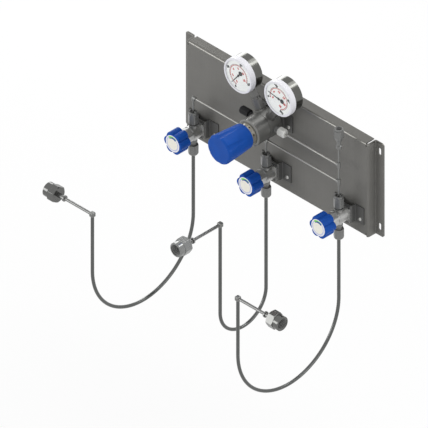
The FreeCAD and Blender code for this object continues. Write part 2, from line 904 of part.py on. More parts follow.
def regulator_diaphragm():
    # Thin disc clamped under the bonnet, and the plate that the spring stands on.
    disc = bar(regulator_radius - 1.5, regulator_front, bonnet_low)
    plate = turned([
        (0, bonnet_low),
        (spring_chamber_radius - 1, bonnet_low),
        (spring_chamber_radius - 1, spring_low - gap),
        (0, spring_low - gap),
    ])
    return placed(disc.fuse(plate).removeSplitter(), Vector(0, 0, 0), forward)


def regulator_bonnet():
    # Spring housing with a bright chamfered front; a rib inside keeps the spring button from turning.
    chamfer = regulator_bonnet_chamfer
    piece = turned([
        (spring_chamber_radius, bonnet_low),
        (regulator_radius, bonnet_low),
        (regulator_radius, bonnet_high - chamfer),
        (regulator_radius - chamfer, bonnet_high),
        (adjuster_radius + running, bonnet_high),
        (adjuster_radius + running, spring_ceiling),
        (spring_chamber_radius, spring_ceiling),
    ])
    rib = box(
        Vector(spring_chamber_radius - rib_depth, -rib_half, bonnet_low + 4),
        Vector(spring_chamber_radius + 1, rib_half, spring_ceiling + 1),
    )
    return placed(piece.fuse(rib).removeSplitter(), Vector(0, 0, 0), forward)


def range_spring():
    # Flat-wire coil spring between the diaphragm plate and the button.
    height = button_low - gap - spring_low
    radius = spring_chamber_radius - 1.6 - spring_wire / 2
    pitch = (height - spring_wire) / spring_turns
    path = Part.Wire(Part.makeHelix(pitch, height - spring_wire, radius))
    half = spring_wire / 2
    corners = [(-half, 0), (half, 0), (half, spring_wire), (-half, spring_wire), (-half, 0)]
    section = Part.makePolygon([Vector(radius + x, 0, z) for x, z in corners])
    coil = path.makePipeShell([section], True, True)
    return placed(coil, Vector(0, -spring_low, 0), forward)


def spring_button():
    # Disc on the adjusting screw's thread, with a notch that rides on the bonnet's rib.
    rim = spring_chamber_radius - gap
    piece = bar(rim, button_low, button_high, adjuster_radius + 2 * running)
    notch = box(
        Vector(spring_chamber_radius - rib_depth - gap - 0.1, -rib_half - gap - 0.1, button_low - 1),
        Vector(rim + 1, rib_half + gap + 0.1, button_high + 1),
    )
    return placed(piece.cut(notch), Vector(0, 0, 0), forward)


def adjusting_screw():
    # Thread in the button, collar under the bonnet's roof, and the stem that the knob is fixed on.
    start = button_low - button_travel - 0.5
    end = knob_front - 9
    piece = turned([
        (0, start),
        (adjuster_radius, start),
        (adjuster_radius, adjuster_collar),
        (7.0, adjuster_collar),
        (7.0, spring_ceiling - gap),
        (adjuster_radius, spring_ceiling - gap),
        (adjuster_radius, end),
        (0, end),
    ])
    return placed(piece, Vector(0, 0, 0), forward)


def bonnet_ring():
    # Collar behind the knob with a row of round spanner holes.
    piece = turned([
        (8.0, bonnet_high),
        (ring_radius, bonnet_high),
        (ring_radius, ring_high - 1),
        (ring_radius - 1, ring_high),
        (8.0, ring_high),
    ])
    for i in range(ring_holes):
        angle = 2 * math.pi * (i + 0.5) / ring_holes
        axis = Vector(math.cos(angle), math.sin(angle), 0)
        hole = bar(ring_hole_radius, ring_radius - 4, ring_radius + 1)
        piece = piece.cut(placed(hole, Vector(0, 0, bonnet_high + ring_length / 2), axis))
    return placed(piece, Vector(0, 0, 0), forward)


def regulator_knob():
    # Hollow tapered knob, rounded in front, with scooped flutes that run out towards the back.
    bend = knob_round
    slope = (knob_front_radius - knob_back_radius) / (knob_length - bend)
    diagonal = bend * (1 - math.sqrt(0.5))
    hub = adjuster_radius + 4
    inner_back = knob_back_radius - knob_wall
    inner_front = knob_back_radius + slope * (knob_length - bend - knob_wall) - knob_wall
    roof = knob_front - bend - knob_wall
    knob = turned([
        (inner_back, knob_back),
        (knob_back_radius, knob_back),
        (knob_front_radius, knob_front - bend),
        ((knob_front_radius - diagonal, knob_front - diagonal), (knob_front_radius - bend, knob_front)),
        (0, knob_front),
        (0, knob_front - 8.8),
        (adjuster_radius + running, knob_front - 8.8),
        (adjuster_radius + running, knob_back + 4),
        (hub, knob_back + 4),
        (hub, roof),
        (inner_front - 2, roof),
    ])
    # Each flute is deepest at the front edge and leaves the surface before the back.
    foot = Vector(knob_back_radius + flute_back_rise + flute_radius, 0, knob_back)
    head = Vector(knob_front_radius - flute_front_depth + flute_radius, 0, knob_front - bend)
    along = (head - foot).normalize()
    cutter = placed(bar(flute_radius, -5, (head - foot).Length + 10), foot, along)
    for i in range(knob_flutes):
        flute = cutter.copy()
        flute.rotate(Vector(0, 0, 0), up, 360 * (i + 0.5) / knob_flutes)
        knob = knob.cut(flute)
    return placed(knob, Vector(0, 0, 0), forward)


def regulator_port_connector():
    # Fitting in the regulator's right-hand port.
    thread = port_thread_radius
    end = port_nut_high - port_nut_end - port_thread_run
    return turned([
        (drilling, side_port_depth),
        (side_port_radius, side_port_depth),
        (side_port_radius, port_neck),
        (thread - 0.5, port_neck + 0.6),
        (thread - 0.5, port_nut_low - 0.6),
        (thread, port_nut_low),
        (thread, end),
        (tube_radius + running, end),
        (tube_radius + running, port_tube_end - gap / 3),
        (drilling, port_tube_end - gap / 3),
    ])


def regulator_port_nut():
    back = port_nut_low + 0.4
    piece = turned([
        (port_thread_radius + running, back),
        (port_nut_radius - 0.6, back),
        (port_nut_radius, back + 0.6),
        (port_nut_radius, port_nut_high - 3),
        (port_nut_radius - 1.8, port_nut_high - 1),
        (5.0, port_nut_high),
        (tube_radius + running, port_nut_high),
        (tube_radius + running, port_nut_high - 2),
        (port_thread_radius + running, port_nut_high - port_nut_end),
    ])
    return milled(piece, port_nut_flats, port_nut_low, port_nut_high)


def relief_valve():
    # Neck screwed into the left-hand port, black barrel and its blow-off cap.
    barrel = port_neck + 12.9
    end = barrel + relief_valve_length
    return turned([
        (0, side_port_depth),
        (side_port_radius, side_port_depth),
        (side_port_radius, port_neck),
        (4.5, port_neck + 0.6),
        (4.5, barrel - 1),
        (relief_valve_radius, barrel),
        (relief_valve_radius, end - 2),
        (relief_valve_radius - 1.2, end),
        (2.2, end),
        (2.2, end + 2),
        (0, end + 2),
    ])


lens_high = bezel_front - lens_recess
lens_low = lens_high - lens_sheet
case_front = lens_low - running
pointer_high = lens_low - 0.4
pointer_low = pointer_high - pointer_sheet
dial_high = pointer_low - gap
dial_low = dial_high - dial_sheet
stem_low = adaptor_low + 11.7
socket_low = gauge_reach - bourdon_radius - bourdon_sheet
block_half = 5.0


def gauge_case():
    # Round cup that reaches into the bezel, with a hole in its rim for the stem.
    inner = gauge_radius - gauge_wall
    case = turned([
        (0, -gauge_back),
        (gauge_radius - 1, -gauge_back),
        (gauge_radius, 1 - gauge_back),
        (gauge_radius, case_front),
        (inner, case_front),
        (inner, gauge_wall - gauge_back),
        (0, gauge_wall - gauge_back),
    ])
    return placed(case, Vector(0, 0, 0), forward)


def gauge_bezel():
    # Deep plastic ring over the front of the case; its lip holds the lens.
    seat = gauge_radius + 2 * running
    piece = turned([
        (seat, bezel_back),
        (bezel_radius - 0.5, bezel_back),
        (bezel_radius, bezel_back + 0.5),
        (bezel_radius, bezel_front - 1.2),
        (bezel_radius - 1.2, bezel_front),
        (bezel_opening + lens_recess, bezel_front),
        (bezel_opening, lens_high + running),
        (seat, lens_high + running),
    ])
    return placed(piece, Vector(0, 0, 0), forward)


def gauge_lens():
    return placed(bar(gauge_radius, lens_low, lens_high), Vector(0, 0, 0), forward)


def gauge_dial():
    disc = bar(gauge_radius - gauge_wall - gap, dial_low, dial_high, pointer_arbor + running)
    return placed(disc, Vector(0, 0, 0), forward)


def gauge_pointer(angle):
    # Tapered needle with a round tail weight, on an arbor that turns in the movement.
    plate = bar(2.2, pointer_low, pointer_high)
    widths = ((-pointer_tail, 0.9), (0, 1.0), (pointer_length, 0.3))
    corners = [Vector(x, -half, pointer_low) for x, half in widths]
    corners += [Vector(x, half, pointer_low) for x, half in reversed(widths)]
    needle = Part.Face(Part.makePolygon(corners + corners[:1]))
    plate = plate.fuse(needle.extrude(Vector(0, 0, pointer_sheet)))
    weight = bar(pointer_weight_radius, pointer_low, pointer_high)
    weight.translate(Vector(-pointer_tail, 0, 0))
    arbor = bar(pointer_arbor, dial_low - 3, pointer_high + 0.1)
    piece = plate.fuse([weight, arbor]).removeSplitter()
    piece.rotate(Vector(0, 0, 0), up, angle)
    return placed(piece, Vector(0, 0, 0), forward)


def gauge_socket():
    # Screwed stem below the case, the block inside it, and the frame of the movement under the dial.
    # Heights here run along the stem, from the regulator's axis to the middle of the gauge.
    stem = turned([
        (drilling, stem_low),
        (stem_thread_radius, stem_low),
        (stem_thread_radius, adaptor_high),
        (stem_radius, adaptor_high + gap),
        (stem_radius, socket_low),
        (drilling, socket_low),
    ])
    stem = milled(stem, stem_flats, adaptor_high + 2, adaptor_high + 12, 4)
    block = box(Vector(-block_half, -block_half, socket_low - 3), Vector(block_half, 6, socket_low + 4))
    frame = box(Vector(-block_half, -dial_low, socket_low - 3), Vector(block_half, 0, gauge_reach + 7))
    arbor_hole = bar(pointer_arbor + running, dial_low - 4, dial_low + 1)
    arbor_hole = placed(arbor_hole, Vector(0, 0, gauge_reach), forward)
    return stem.fuse([block, frame]).removeSplitter().cut(arbor_hole)


def bourdon_tube():
    # Flattened spring tube, bent to three quarters of a circle from the side of the socket's block.
    centre = Vector(0, 3.2, gauge_reach)
    half = bourdon_width / 2
    corners = [(-half, 0), (half, 0), (half, bourdon_sheet), (-half, bourdon_sheet), (-half, 0)]
    section = Part.makePolygon([centre + Vector(0, y, -bourdon_radius - z) for y, z in corners])
    start = math.degrees(math.asin((block_half + gap) / bourdon_radius))
    coil = Part.Face(section).revolve(centre, Vector(0, 1, 0), bourdon_sweep)
    coil.rotate(centre, Vector(0, 1, 0), start)
    return coil


def gauge_adaptor():
    # Hexagon adaptor between the regulator's boss and the gauge's stem.
    shoulder = adaptor_high - 3
    piece = turned([
        (drilling, side_port_depth),
        (side_port_radius, side_port_depth),
        (side_port_radius, adaptor_low),
        (nut_radius - 0.6, adaptor_low),
        (nut_radius, adaptor_low + 0.6),
        (nut_radius, shoulder - 0.6),
        (nut_radius - 0.9, shoulder),
        (nut_rim_radius, shoulder),
        (nut_rim_radius, adaptor_high),
        (stem_thread_radius + running, adaptor_high),
        (stem_thread_radius + running, stem_low - gap),
        (drilling, stem_low - gap),
    ])
    return milled(piece, nut_flats, adaptor_low, shoulder)


def along_stem(piece, axis):
    # From the stem's own frame, with Y kept, to its lean at the regulator.
    lean = math.degrees(math.atan2(axis.x, axis.z))
    moved = piece.copy()
    turn = FreeCAD.Placement(regulator_centre, FreeCAD.Rotation(Vector(0, 1, 0), lean))
    moved.Placement = turn.multiply(piece.Placement)
    return moved


def build_panel():
    save("back_panel", [back_panel()])
    save("valve_brackets", [bracket(valve_bracket_width, x, valve_z) for x in valve_xs])
    save("regulator_bracket", [bracket(regulator_bracket_width, 0.0, regulator_z)])
    save("bracket_fasteners", bracket_fasteners())


def build_valves():
    centres = [Vector(x, port_y, valve_z) for x in valve_xs]

    def at(piece, centre):
        moved = piece.copy()
        moved.translate(centre)
        return moved

    singles = {
        "valve_body": valve_body(),
        "handwheel": handwheel(),
        "wheel_disc": wheel_disc(),
        "valve_spindle": valve_spindle(),
        "valve_plunger": valve_plunger(),
    }
    for name, piece in singles.items():
        for number, centre in enumerate(centres, 1):
            save(f"{name}_{number}", [at(piece, centre)])
    groups = {
        "valve_bonnets": valve_bonnet(),
        "valve_diaphragms": valve_diaphragm(),
        "outlet_connectors": placed(outlet_connector(), Vector(0, 0, 0), up),
        "outlet_nuts": placed(outlet_nut(), Vector(0, 0, 0), up),
        "inlet_connectors": placed(inlet_connector(), Vector(0, 0, 0), down),
        "pigtail_nuts": placed(pigtail_nut(), Vector(0, 0, 0), down),
    }
    for name, piece in groups.items():
        save(name, [at(piece, centre) for centre in centres])
    seats = [at(valve_seat(), centre) for centre in centres]
    save("seat_rings", seats + [at(regulator_seat(), regulator_centre)])


def build_pigtails():
    elbows, nipples = [], []
    for number, (x, loop, axis) in enumerate(zip(valve_xs, pigtail_loops, pigtail_directions), 1):
        centre = Vector(x, port_y - loop, pigtail_end)
        save(f"pigtail_tube_{number}", [pigtail(x, loop)])
        nut = cylinder_nut()
        nut.rotate(Vector(0, 0, 0), up, cylinder_nut_turns[number - 1])
        save(f"cylinder_nut_{number}", [placed(nut, centre, axis)])
        elbows.append(pigtail_elbow(x, loop, axis))
        nipples.append(placed(cylinder_nipple(), centre, axis))
    save("pigtail_elbows", elbows)
    save("cylinder_nipples", nipples)


def build_manifold():
    fittings, across, risers = manifold()
    save("weld_fittings", fittings)
    save("header_tubes", across)
    save("riser_tubes", risers)
    foot = Vector(valve_xs[2], port_y, 0)
    save("panel_outlet_connector", [placed(panel_outlet_connector(), foot, up)])
    save("panel_outlet_nut", [placed(panel_outlet_nut(), foot, up)])


def build_regulator():
    pieces = {
        "regulator_body": regulator_body(),
        "regulator_poppet": regulator_poppet(),
        "regulator_diaphragm": regulator_diaphragm(),
        "regulator_bonnet": regulator_bonnet(),
        "range_spring": range_spring(),
        "spring_button": spring_button(),
        "adjusting_screw": adjusting_screw(),
        "bonnet_ring": bonnet_ring(),
        "regulator_knob": regulator_knob(),
        "regulator_port_connector": placed(regulator_port_connector(), Vector(0, 0, 0), right),
        "regulator_port_nut": placed(regulator_port_nut(), Vector(0, 0, 0), right),
        "relief_valve": placed(relief_valve(), Vector(0, 0, 0), left),
    }
    for name, piece in pieces.items():
        piece.translate(regulator_centre)
        save(name, [piece])


def build_gauges():
    centres = [regulator_centre + axis * gauge_reach for axis in gauge_axes]
    edge = gauge_reach - gauge_radius
    stem_hole = bar(stem_radius + gap, edge - 2, edge + 5)
    cases = []
    for axis, centre in zip(gauge_axes, centres):
        case = gauge_case()
        case.translate(centre)
        cases.append(case.cut(along_stem(stem_hole, axis)))
    save("gauge_cases", cases)
    rounds = {"gauge_bezels": gauge_bezel, "gauge_lenses": gauge_lens, "gauge_dials": gauge_dial}
    for name, make in rounds.items():
        pair = [make() for _ in centres]
        for piece, centre in zip(pair, centres):
            piece.translate(centre)
        save(name, pair)
    for name, piece in (
        ("gauge_sockets", gauge_socket()),
        ("gauge_adaptors", gauge_adaptor()),
        ("bourdon_tubes", bourdon_tube()),
    ):
        save(name, [along_stem(piece, axis) for axis in gauge_axes])
    for number, (angle, centre) in enumerate(zip(pointer_angles, centres), 1):
        pointer = gauge_pointer(angle)
        pointer.translate(centre)
        save(f"gauge_pointer_{number}", [pointer])


os.makedirs("parts", exist_ok=True)
build_panel()
build_valves()
build_pigtails()
build_manifold()
build_regulator()
build_gauges()
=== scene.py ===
import json
import math

import bmesh
import bpy
from mathutils import Matrix, Vector


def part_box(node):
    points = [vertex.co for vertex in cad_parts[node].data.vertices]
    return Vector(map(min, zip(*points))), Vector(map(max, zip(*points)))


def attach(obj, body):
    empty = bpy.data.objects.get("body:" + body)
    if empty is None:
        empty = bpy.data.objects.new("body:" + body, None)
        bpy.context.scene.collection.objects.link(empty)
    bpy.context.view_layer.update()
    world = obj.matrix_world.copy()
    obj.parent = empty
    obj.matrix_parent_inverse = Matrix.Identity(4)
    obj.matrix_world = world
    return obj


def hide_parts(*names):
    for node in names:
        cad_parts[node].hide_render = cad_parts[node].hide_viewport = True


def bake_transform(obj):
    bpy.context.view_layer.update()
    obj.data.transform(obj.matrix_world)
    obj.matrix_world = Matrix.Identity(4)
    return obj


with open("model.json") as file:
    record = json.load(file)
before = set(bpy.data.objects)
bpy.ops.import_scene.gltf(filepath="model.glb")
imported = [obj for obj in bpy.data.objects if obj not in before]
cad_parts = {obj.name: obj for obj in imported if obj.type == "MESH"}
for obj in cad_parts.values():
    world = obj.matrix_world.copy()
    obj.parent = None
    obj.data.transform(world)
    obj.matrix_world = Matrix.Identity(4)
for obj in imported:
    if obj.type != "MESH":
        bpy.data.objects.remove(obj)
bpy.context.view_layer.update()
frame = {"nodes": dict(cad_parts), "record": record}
nodes = frame["nodes"]
mm = 0.001
toFront = Matrix.Rotation(math.radians(90), 4, "X")  # a piece made along +Z turns to face the room, along -Y
print("stage: frame loaded,", len(nodes), "nodes")

# Camera, an isometric view without perspective
viewing = {
    "azimuth": 45.0,
    "elevation": 35.264,
    "width": 0.6989,
    "right": -0.1171,
    "up": -0.13104,
    "away": 2.5,
    "farthest": 20.0,
}
azimuth = math.radians(viewing["azimuth"])
elevation = math.radians(viewing["elevation"])
level = math.cos(elevation)
towards = Vector((math.sin(azimuth) * level, -math.cos(azimuth) * level, math.sin(elevation)))
acrossView = Vector((math.cos(azimuth), math.sin(azimuth), 0))
upView = towards.cross(acrossView)
camera = bpy.data.objects.new("camera", bpy.data.cameras.new("camera"))
bpy.context.scene.collection.objects.link(camera)
camera.data.type = "ORTHO"
camera.data.ortho_scale = viewing["width"]
camera.data.clip_end = viewing["farthest"]
camera.location = acrossView * viewing["right"] + upView * viewing["up"] + towards * viewing["away"]
camera.rotation_euler = (-towards).to_track_quat("-Z", "Y").to_euler()
bpy.context.scene.camera = camera
bpy.context.scene.view_settings.view_transform = "Standard"
print("stage: camera set")


class Signal:  # an output socket, so that masks are written as sums and products
    def __init__(self, wiring, socket):
        self.wiring = wiring
        self.socket = socket

    def math(self, operation, *values):
        return self.wiring.add("ShaderNodeMath", {"operation": operation}, dict(enumerate(values)))

    def __add__(self, other):
        return self.math("ADD", self, other)

    def __sub__(self, other):
        return self.math("SUBTRACT", self, other)

    def __rsub__(self, other):
        return self.math("SUBTRACT", other, self)

    def __mul__(self, other):
        return self.math("MULTIPLY", self, other)

    def __truediv__(self, other):
        return self.math("DIVIDE", self, other)

    def __lt__(self, other):
        return self.math("LESS_THAN", self, other)

    def __mod__(self, other):
        return self.math("MODULO", self, other)

    __radd__ = __add__
    __rmul__ = __mul__

    def sine(self):
        return self.math("SINE", self)

    def cosine(self):
        return self.math("COSINE", self)

    def between(self, low, high, soft):  # 1 from low to high, with soft edges
        rise = self.wiring.smooth(self, low - soft, low + soft)
        fall = self.wiring.smooth(self, high - soft, high + soft)
        return rise * (1 - fall)


class Wiring:  # adds nodes to a tree
    def __init__(self, tree):
        self.tree = tree

    def add(self, kind, settings=None, inputs=None, output=0):
        node = self.tree.nodes.new(kind)
        for key, value in (settings or {}).items():
            setattr(node, key, value)
        for key, value in (inputs or {}).items():
            if isinstance(value, Signal):
                self.tree.links.new(value.socket, node.inputs[key])
            else:
                node.inputs[key].default_value = value
        return Signal(self, node.outputs[output])

    def smooth(self, value, low, high):
        return self.add(
            "ShaderNodeMapRange",
            {"interpolation_type": "SMOOTHSTEP"},
            {"Value": value, "From Min": low, "From Max": high},
        )

    def mix(self, factor, first, second):
        tints = [(*tint, 1) if isinstance(tint, tuple) else tint for tint in (first, second)]
        return self.add("ShaderNodeMix", {"data_type": "RGBA"}, {0: factor, 6: tints[0], 7: tints[1]}, 2)

    def place(self, location=(0, 0, 0), scale=(1, 1, 1)):  # object coordinates, moved and stretched
        coordinates = self.add("ShaderNodeTexCoord", output=3)
        sizes = {"Vector": coordinates, "Location": location, "Scale": scale}
        return self.add("ShaderNodeMapping", {}, sizes)

    def noise(self, where, scale, detail=3.0, roughness=0.55):
        sizes = {"Vector": where, "Scale": scale, "Detail": detail, "Roughness": roughness}
        return self.add("ShaderNodeTexNoise", {}, sizes)

    def part(self, where, axis):
        return self.add("ShaderNodeSeparateXYZ", {}, {0: where}, axis)


class Finish(Wiring):  # a material with one Principled shader
    def __init__(self, name, **constants):
        self.material = bpy.data.materials.new(name)
        self.material.use_nodes = True
        super().__init__(self.material.node_tree)
        self.shader = self.tree.nodes["Principled BSDF"]
        for socket, value in constants.items():
            self.shader.inputs[socket.replace("_", " ")].default_value = value

    def feed(self, socket, signal):
        self.tree.links.new(signal.socket, self.shader.inputs[socket])

    def bump(self, height, distance):
        sizes = {"Strength": 1.0, "Distance": distance, "Height": height}
        self.feed("Normal", self.add("ShaderNodeBump", {}, sizes))


def shade(tone, factor):
    return tuple(min(1.0, channel * factor) for channel in tone)


# Steel: fine tool lines, slow clouds of handling and a few small specks, scales per metre
steelWork = {
    "clouds": 38.0,
    "specks": 420.0,
    "speckEdges": (0.62, 0.78),
    "speckTone": 0.6,
    "patternEdges": (0.28, 0.72),
    "meanRoughness": 0.09,  # what lines and clouds add on average
}
foldPolishAndPaintedHighlight = {  # the panel's bend and rim, as depths below its top, and how they shine; share and tone paint a lighter line on the bend, a painted highlight
    "shineFrom": 3.4 * mm,
    "shineFull": 2.8 * mm,
    "bendFades": 0.9 * mm,
    "bendEnds": 0.4 * mm,
    # share and tone lighten the bend's colour: a painted highlight
    "share": 0.35,
    "tone": 2.6,
    "metallic": 0.85,
    "polish": 0.14,
}


def steelFinish(
    name, tone, stretch, rough, metallic=0.9, contrast=0.1, grain=3e-6, specular=0.5, worn=0.35, fold=None
):
    # brushed, turned or drawn steel, whose stretch is its lines per metre along X, Y and Z
    finish = Finish(name, Metallic=metallic, Specular_IOR_Level=specular)
    lines = finish.noise(finish.place(scale=stretch), 1.0, 3.0, 0.55)
    clouds = finish.noise(finish.place(), steelWork["clouds"], 3.0, 0.5)
    dots = finish.noise(finish.place(), steelWork["specks"], 2.0, 0.6)
    specks = finish.smooth(dots, *steelWork["speckEdges"])
    pattern = finish.smooth(lines * 0.55 + clouds * 0.45, *steelWork["patternEdges"])
    tint = finish.mix(pattern, shade(tone, 1 - contrast), shade(tone, 1 + contrast))
    tint = finish.mix(specks * worn, tint, shade(tone, steelWork["speckTone"]))
    roughness = lines * 0.08 + clouds * 0.1 + specks * 0.08 + (rough - steelWork["meanRoughness"])
    if fold is not None:  # the bend and what lies above it are rubbed to a bare shine in metallic and roughness, and the bend's colour is lightened, a painted highlight
        height = finish.part(finish.place(), 2)
        shine = finish.smooth(height, fold - foldPolishAndPaintedHighlight["shineFrom"], fold - foldPolishAndPaintedHighlight["shineFull"])
        above = finish.smooth(height, fold - foldPolishAndPaintedHighlight["bendFades"], fold - foldPolishAndPaintedHighlight["bendEnds"])
        bend = shine * (1 - above)
        # a lighter line painted on the bend: a painted highlight of the fold
        tint = finish.mix(bend * foldPolishAndPaintedHighlight["share"], tint, shade(tone, foldPolishAndPaintedHighlight["tone"]))
        finish.feed("Metallic", shine * (foldPolishAndPaintedHighlight["metallic"] - metallic) + metallic)
        roughness = roughness - shine * foldPolishAndPaintedHighlight["polish"]
    finish.feed("Base Color", tint)
    finish.feed("Roughness", roughness)
    finish.bump(lines - specks * 0.5, grain)
    return finish.material


steel = {
    "panel": (0.155, 0.152, 0.142),
    "bracket": (0.1, 0.1, 0.097),
    "turned": (0.18, 0.182, 0.178),
    "barrel": (0.2, 0.2, 0.192),
    "case": (0.125, 0.126, 0.118),
    "stem": (0.15, 0.15, 0.145),
    "bonnet": (0.47, 0.475, 0.47),
    "valve": (0.47, 0.47, 0.46),
    "nut": (0.14, 0.141, 0.137),
    # cylinder nut 2's steel, lighter than the other nuts' steel: a painted highlight for its bright top
    "nutPaintedLighter": (0.25, 0.254, 0.25),
    "nipple": (0.2, 0.202, 0.198),
    "pipe": (0.2, 0.203, 0.197),
    "header": (0.32, 0.315, 0.3),
    "pigtail": (0.118, 0.122, 0.119),
    "ring": (0.36, 0.34, 0.29),
    "bright": (0.5, 0.5, 0.48),
    # a pale plated tone, lightened further as a painted highlight for the port nut
    "portNut": (0.66, 0.66, 0.64),
    "spring": (0.14, 0.14, 0.145),
    "brass": (0.52, 0.38, 0.14),
}
fine, coarse = 2200.0, 60.0  # lines across and along the tool's direction, per metre
linesFor = {
    "X": (fine, coarse, coarse),
    "Y": (coarse, fine, coarse),
    "Z": (coarse, coarse, fine),
    "all": (700.0, 700.0, 700.0),
}
drawnFor = {  # drawn tube has its lines along it
    "X": (9.0, 900.0, 900.0),
    "Z": (900.0, 900.0, 9.0),
    "all": (140.0, 140.0, 140.0),
}
brushed = (900.0, 900.0, 7.0)  # the panel's lines run upright
evenTube = {"contrast": 0.05, "grain": 5e-7, "worn": 0.1}  # a smooth tube's quiet surface
panelSteel = steelFinish(
    "brushed panel steel",
    steel["panel"],
    brushed,
    rough=0.46,
    metallic=0.08,
    contrast=0.06,
    grain=6e-6,
    specular=0.3,
    fold=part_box("back_panel")[1].z,
)
bracketSteel = steelFinish(
    "satin bracket steel", steel["bracket"], linesFor["all"], rough=0.45, metallic=0.25, contrast=0.08
)
turnedSteel = {}
for axis in "XYZ":
    turnedSteel[axis] = steelFinish(
        f"steel turned about {axis}", steel["turned"], linesFor[axis], rough=0.34, metallic=0.4
    )
barrelSteel = steelFinish("turned barrel steel", steel["barrel"], linesFor["Y"], rough=0.38, metallic=0.75)
caseSteel = steelFinish("polished case steel", steel["case"], linesFor["Y"], rough=0.17, metallic=1.0)
bonnetSteel = steelFinish("satin bonnet steel", steel["bonnet"], linesFor["Y"], rough=0.36, metallic=0.92)
valveSteel = steelFinish("satin valve steel", steel["valve"], linesFor["Y"], rough=0.38, metallic=0.92)
stemSteel = steelFinish("dark stem steel", steel["stem"], linesFor["Z"], rough=0.3, metallic=0.6)
nutSteel = {
    "X": steelFinish("nut steel about X", steel["nut"], linesFor["X"], rough=0.2, metallic=0.95),
    # about Y is cylinder nut 2: a lighter copy of the nut steel, a painted highlight
    "Y": steelFinish("nut steel about Y", steel["nutPaintedLighter"], linesFor["Y"], rough=0.24),
}
nippleSteel = steelFinish(
    "nipple steel", steel["nipple"], drawnFor["all"], rough=0.26, metallic=0.85, **evenTube
)
pipeSteel = {}
for axis in ("Z", "all"):
    pipeSteel[axis] = steelFinish(
        f"drawn pipe {axis}", steel["pipe"], drawnFor[axis], rough=0.34, metallic=0.7
    )
headerSteel = steelFinish("thin drawn pipe", steel["header"], drawnFor["X"], rough=0.34, metallic=0.7)
pigtailSteel = steelFinish(
    "bent tube steel", steel["pigtail"], drawnFor["all"], rough=0.2, metallic=0.95, **evenTube
)
ringSteel = steelFinish("warm ring steel", steel["ring"], linesFor["Y"], rough=0.3, metallic=0.6)
brightSteel = steelFinish(
    "polished fastener steel", steel["bright"], linesFor["all"], rough=0.3, metallic=0.8
)
# pale plated steel with a painted highlight: its light tone stands in for a reflection
portNutPlatedWithPaintedHighlight = steelFinish(
    "bright port nut steel", steel["portNut"], linesFor["X"], rough=0.32, metallic=0.25, contrast=0.04
)
springSteel = steelFinish("spring steel", steel["spring"], linesFor["all"], rough=0.36)
brassTube = steelFinish("spring tube brass", steel["brass"], linesFor["all"], rough=0.34)

# Moulded plastic, paint and ink: a fine eroded grain and slow flow clouds, scales per metre
plasticWork = {"grains": 1800.0, "clouds": 45.0, "patternEdges": (0.3, 0.7), "meanRoughness": 0.09}


def plasticFinish(name, tone, rough, variation=0.1, grain=6e-6, specular=0.3, spot=None):
    finish = Finish(name, Specular_IOR_Level=specular)
    grains = finish.noise(finish.place(), plasticWork["grains"], 2.0, 0.6)
    clouds = finish.noise(finish.place(), plasticWork["clouds"], 3.0, 0.5)
    pattern = finish.smooth(clouds * 0.75 + grains * 0.25, *plasticWork["patternEdges"])
    tint = finish.mix(pattern, shade(tone, 1 - variation), shade(tone, 1 + variation))
    if spot:  # a pale mark of some radius about a point
        middle, reach, pale = spot
        ends = {0: finish.place(), 1: middle}
        away = finish.add("ShaderNodeVectorMath", {"operation": "DISTANCE"}, ends, "Value")
        tint = finish.mix(finish.smooth(away, reach, reach * 0.8), tint, pale)
    finish.feed("Base Color", tint)
    finish.feed("Roughness", clouds * 0.12 + grains * 0.06 + (rough - plasticWork["meanRoughness"]))
    finish.bump(grains, grain)
    return finish.material


bluePlastic = plasticFinish(
    "blue grip plastic", (0.006, 0.07, 0.36), rough=0.5, variation=0.07, specular=0.14
)
bezelPlastic = plasticFinish(
    "white bezel plastic", (0.76, 0.76, 0.8), rough=0.38, variation=0.02, grain=4e-6, specular=0.2
)
seatPlastic = plasticFinish("seat plastic", (0.72, 0.72, 0.68), rough=0.5, variation=0.06)
dialPaint = plasticFinish(
    "dial enamel", (0.86, 0.88, 0.86), rough=0.55, variation=0.02, grain=3e-6, specular=0.2
)
pointerPaint = plasticFinish("needle enamel", (0.012, 0.012, 0.013), rough=0.4, variation=0.3, grain=3e-6)
dullInk = {"rough": 0.6, "grain": 2e-6, "specular": 0.1}
inkBlack = plasticFinish("black dial print", (0.012, 0.014, 0.012), variation=0.15, **dullInk)
inkRed = plasticFinish("red dial print", (0.56, 0.07, 0.065), **dullInk)
inkGrey = plasticFinish("grey dial print", (0.2, 0.22, 0.22), **dullInk)
low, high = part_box("relief_valve")
reliefEnd = Vector((low.x, (low.y + high.y) / 2, (low.z + high.z) / 2))  # has a small pale mark
markRadius, markTone = 1.6 * mm, (0.7, 0.7, 0.68)
blackEnamel = plasticFinish(
    "black valve finish",
    (0.02, 0.02, 0.021),
    rough=0.5,
    variation=0.3,
    grain=8e-6,
    specular=0.1,
    spot=(reliefEnd, markRadius, markTone),
)

# Printed wheel disc: a pale ring, and a green and a blue arc on top that show the way the wheel opens
discPrint = {
    "cream": ((0.78, 0.76, 0.68), (0.86, 0.84, 0.76)),
    "border": (0.84, 0.84, 0.86),
    "borderEdges": (12.6 * mm, 13.8 * mm),
    "ring": (0.36, 0.41, 0.74),
    "ringEdges": (11.4 * mm, 13.5 * mm),
    "dashes": 30,
    "bandEdges": (9.5 * mm, 14.0 * mm),
    "bandAngles": (50, 131),
    "partingRise": 2.4 * mm,
    "partingAngles": (150, 60),
    "partingEdges": (10.2 * mm, 10.5 * mm),
    "greens": ((0.03, 0.36, 0.16), (0.2, 0.62, 0.06)),
    "blue": (0.012, 0.05, 0.3),
    "greenAngles": (1.0, 2.1),  # radians, from the darker to the lighter green
    "soft": 0.15 * mm,
    "softAngle": 0.03,
    "clouds": 60.0,
    "grains": 2600.0,
}


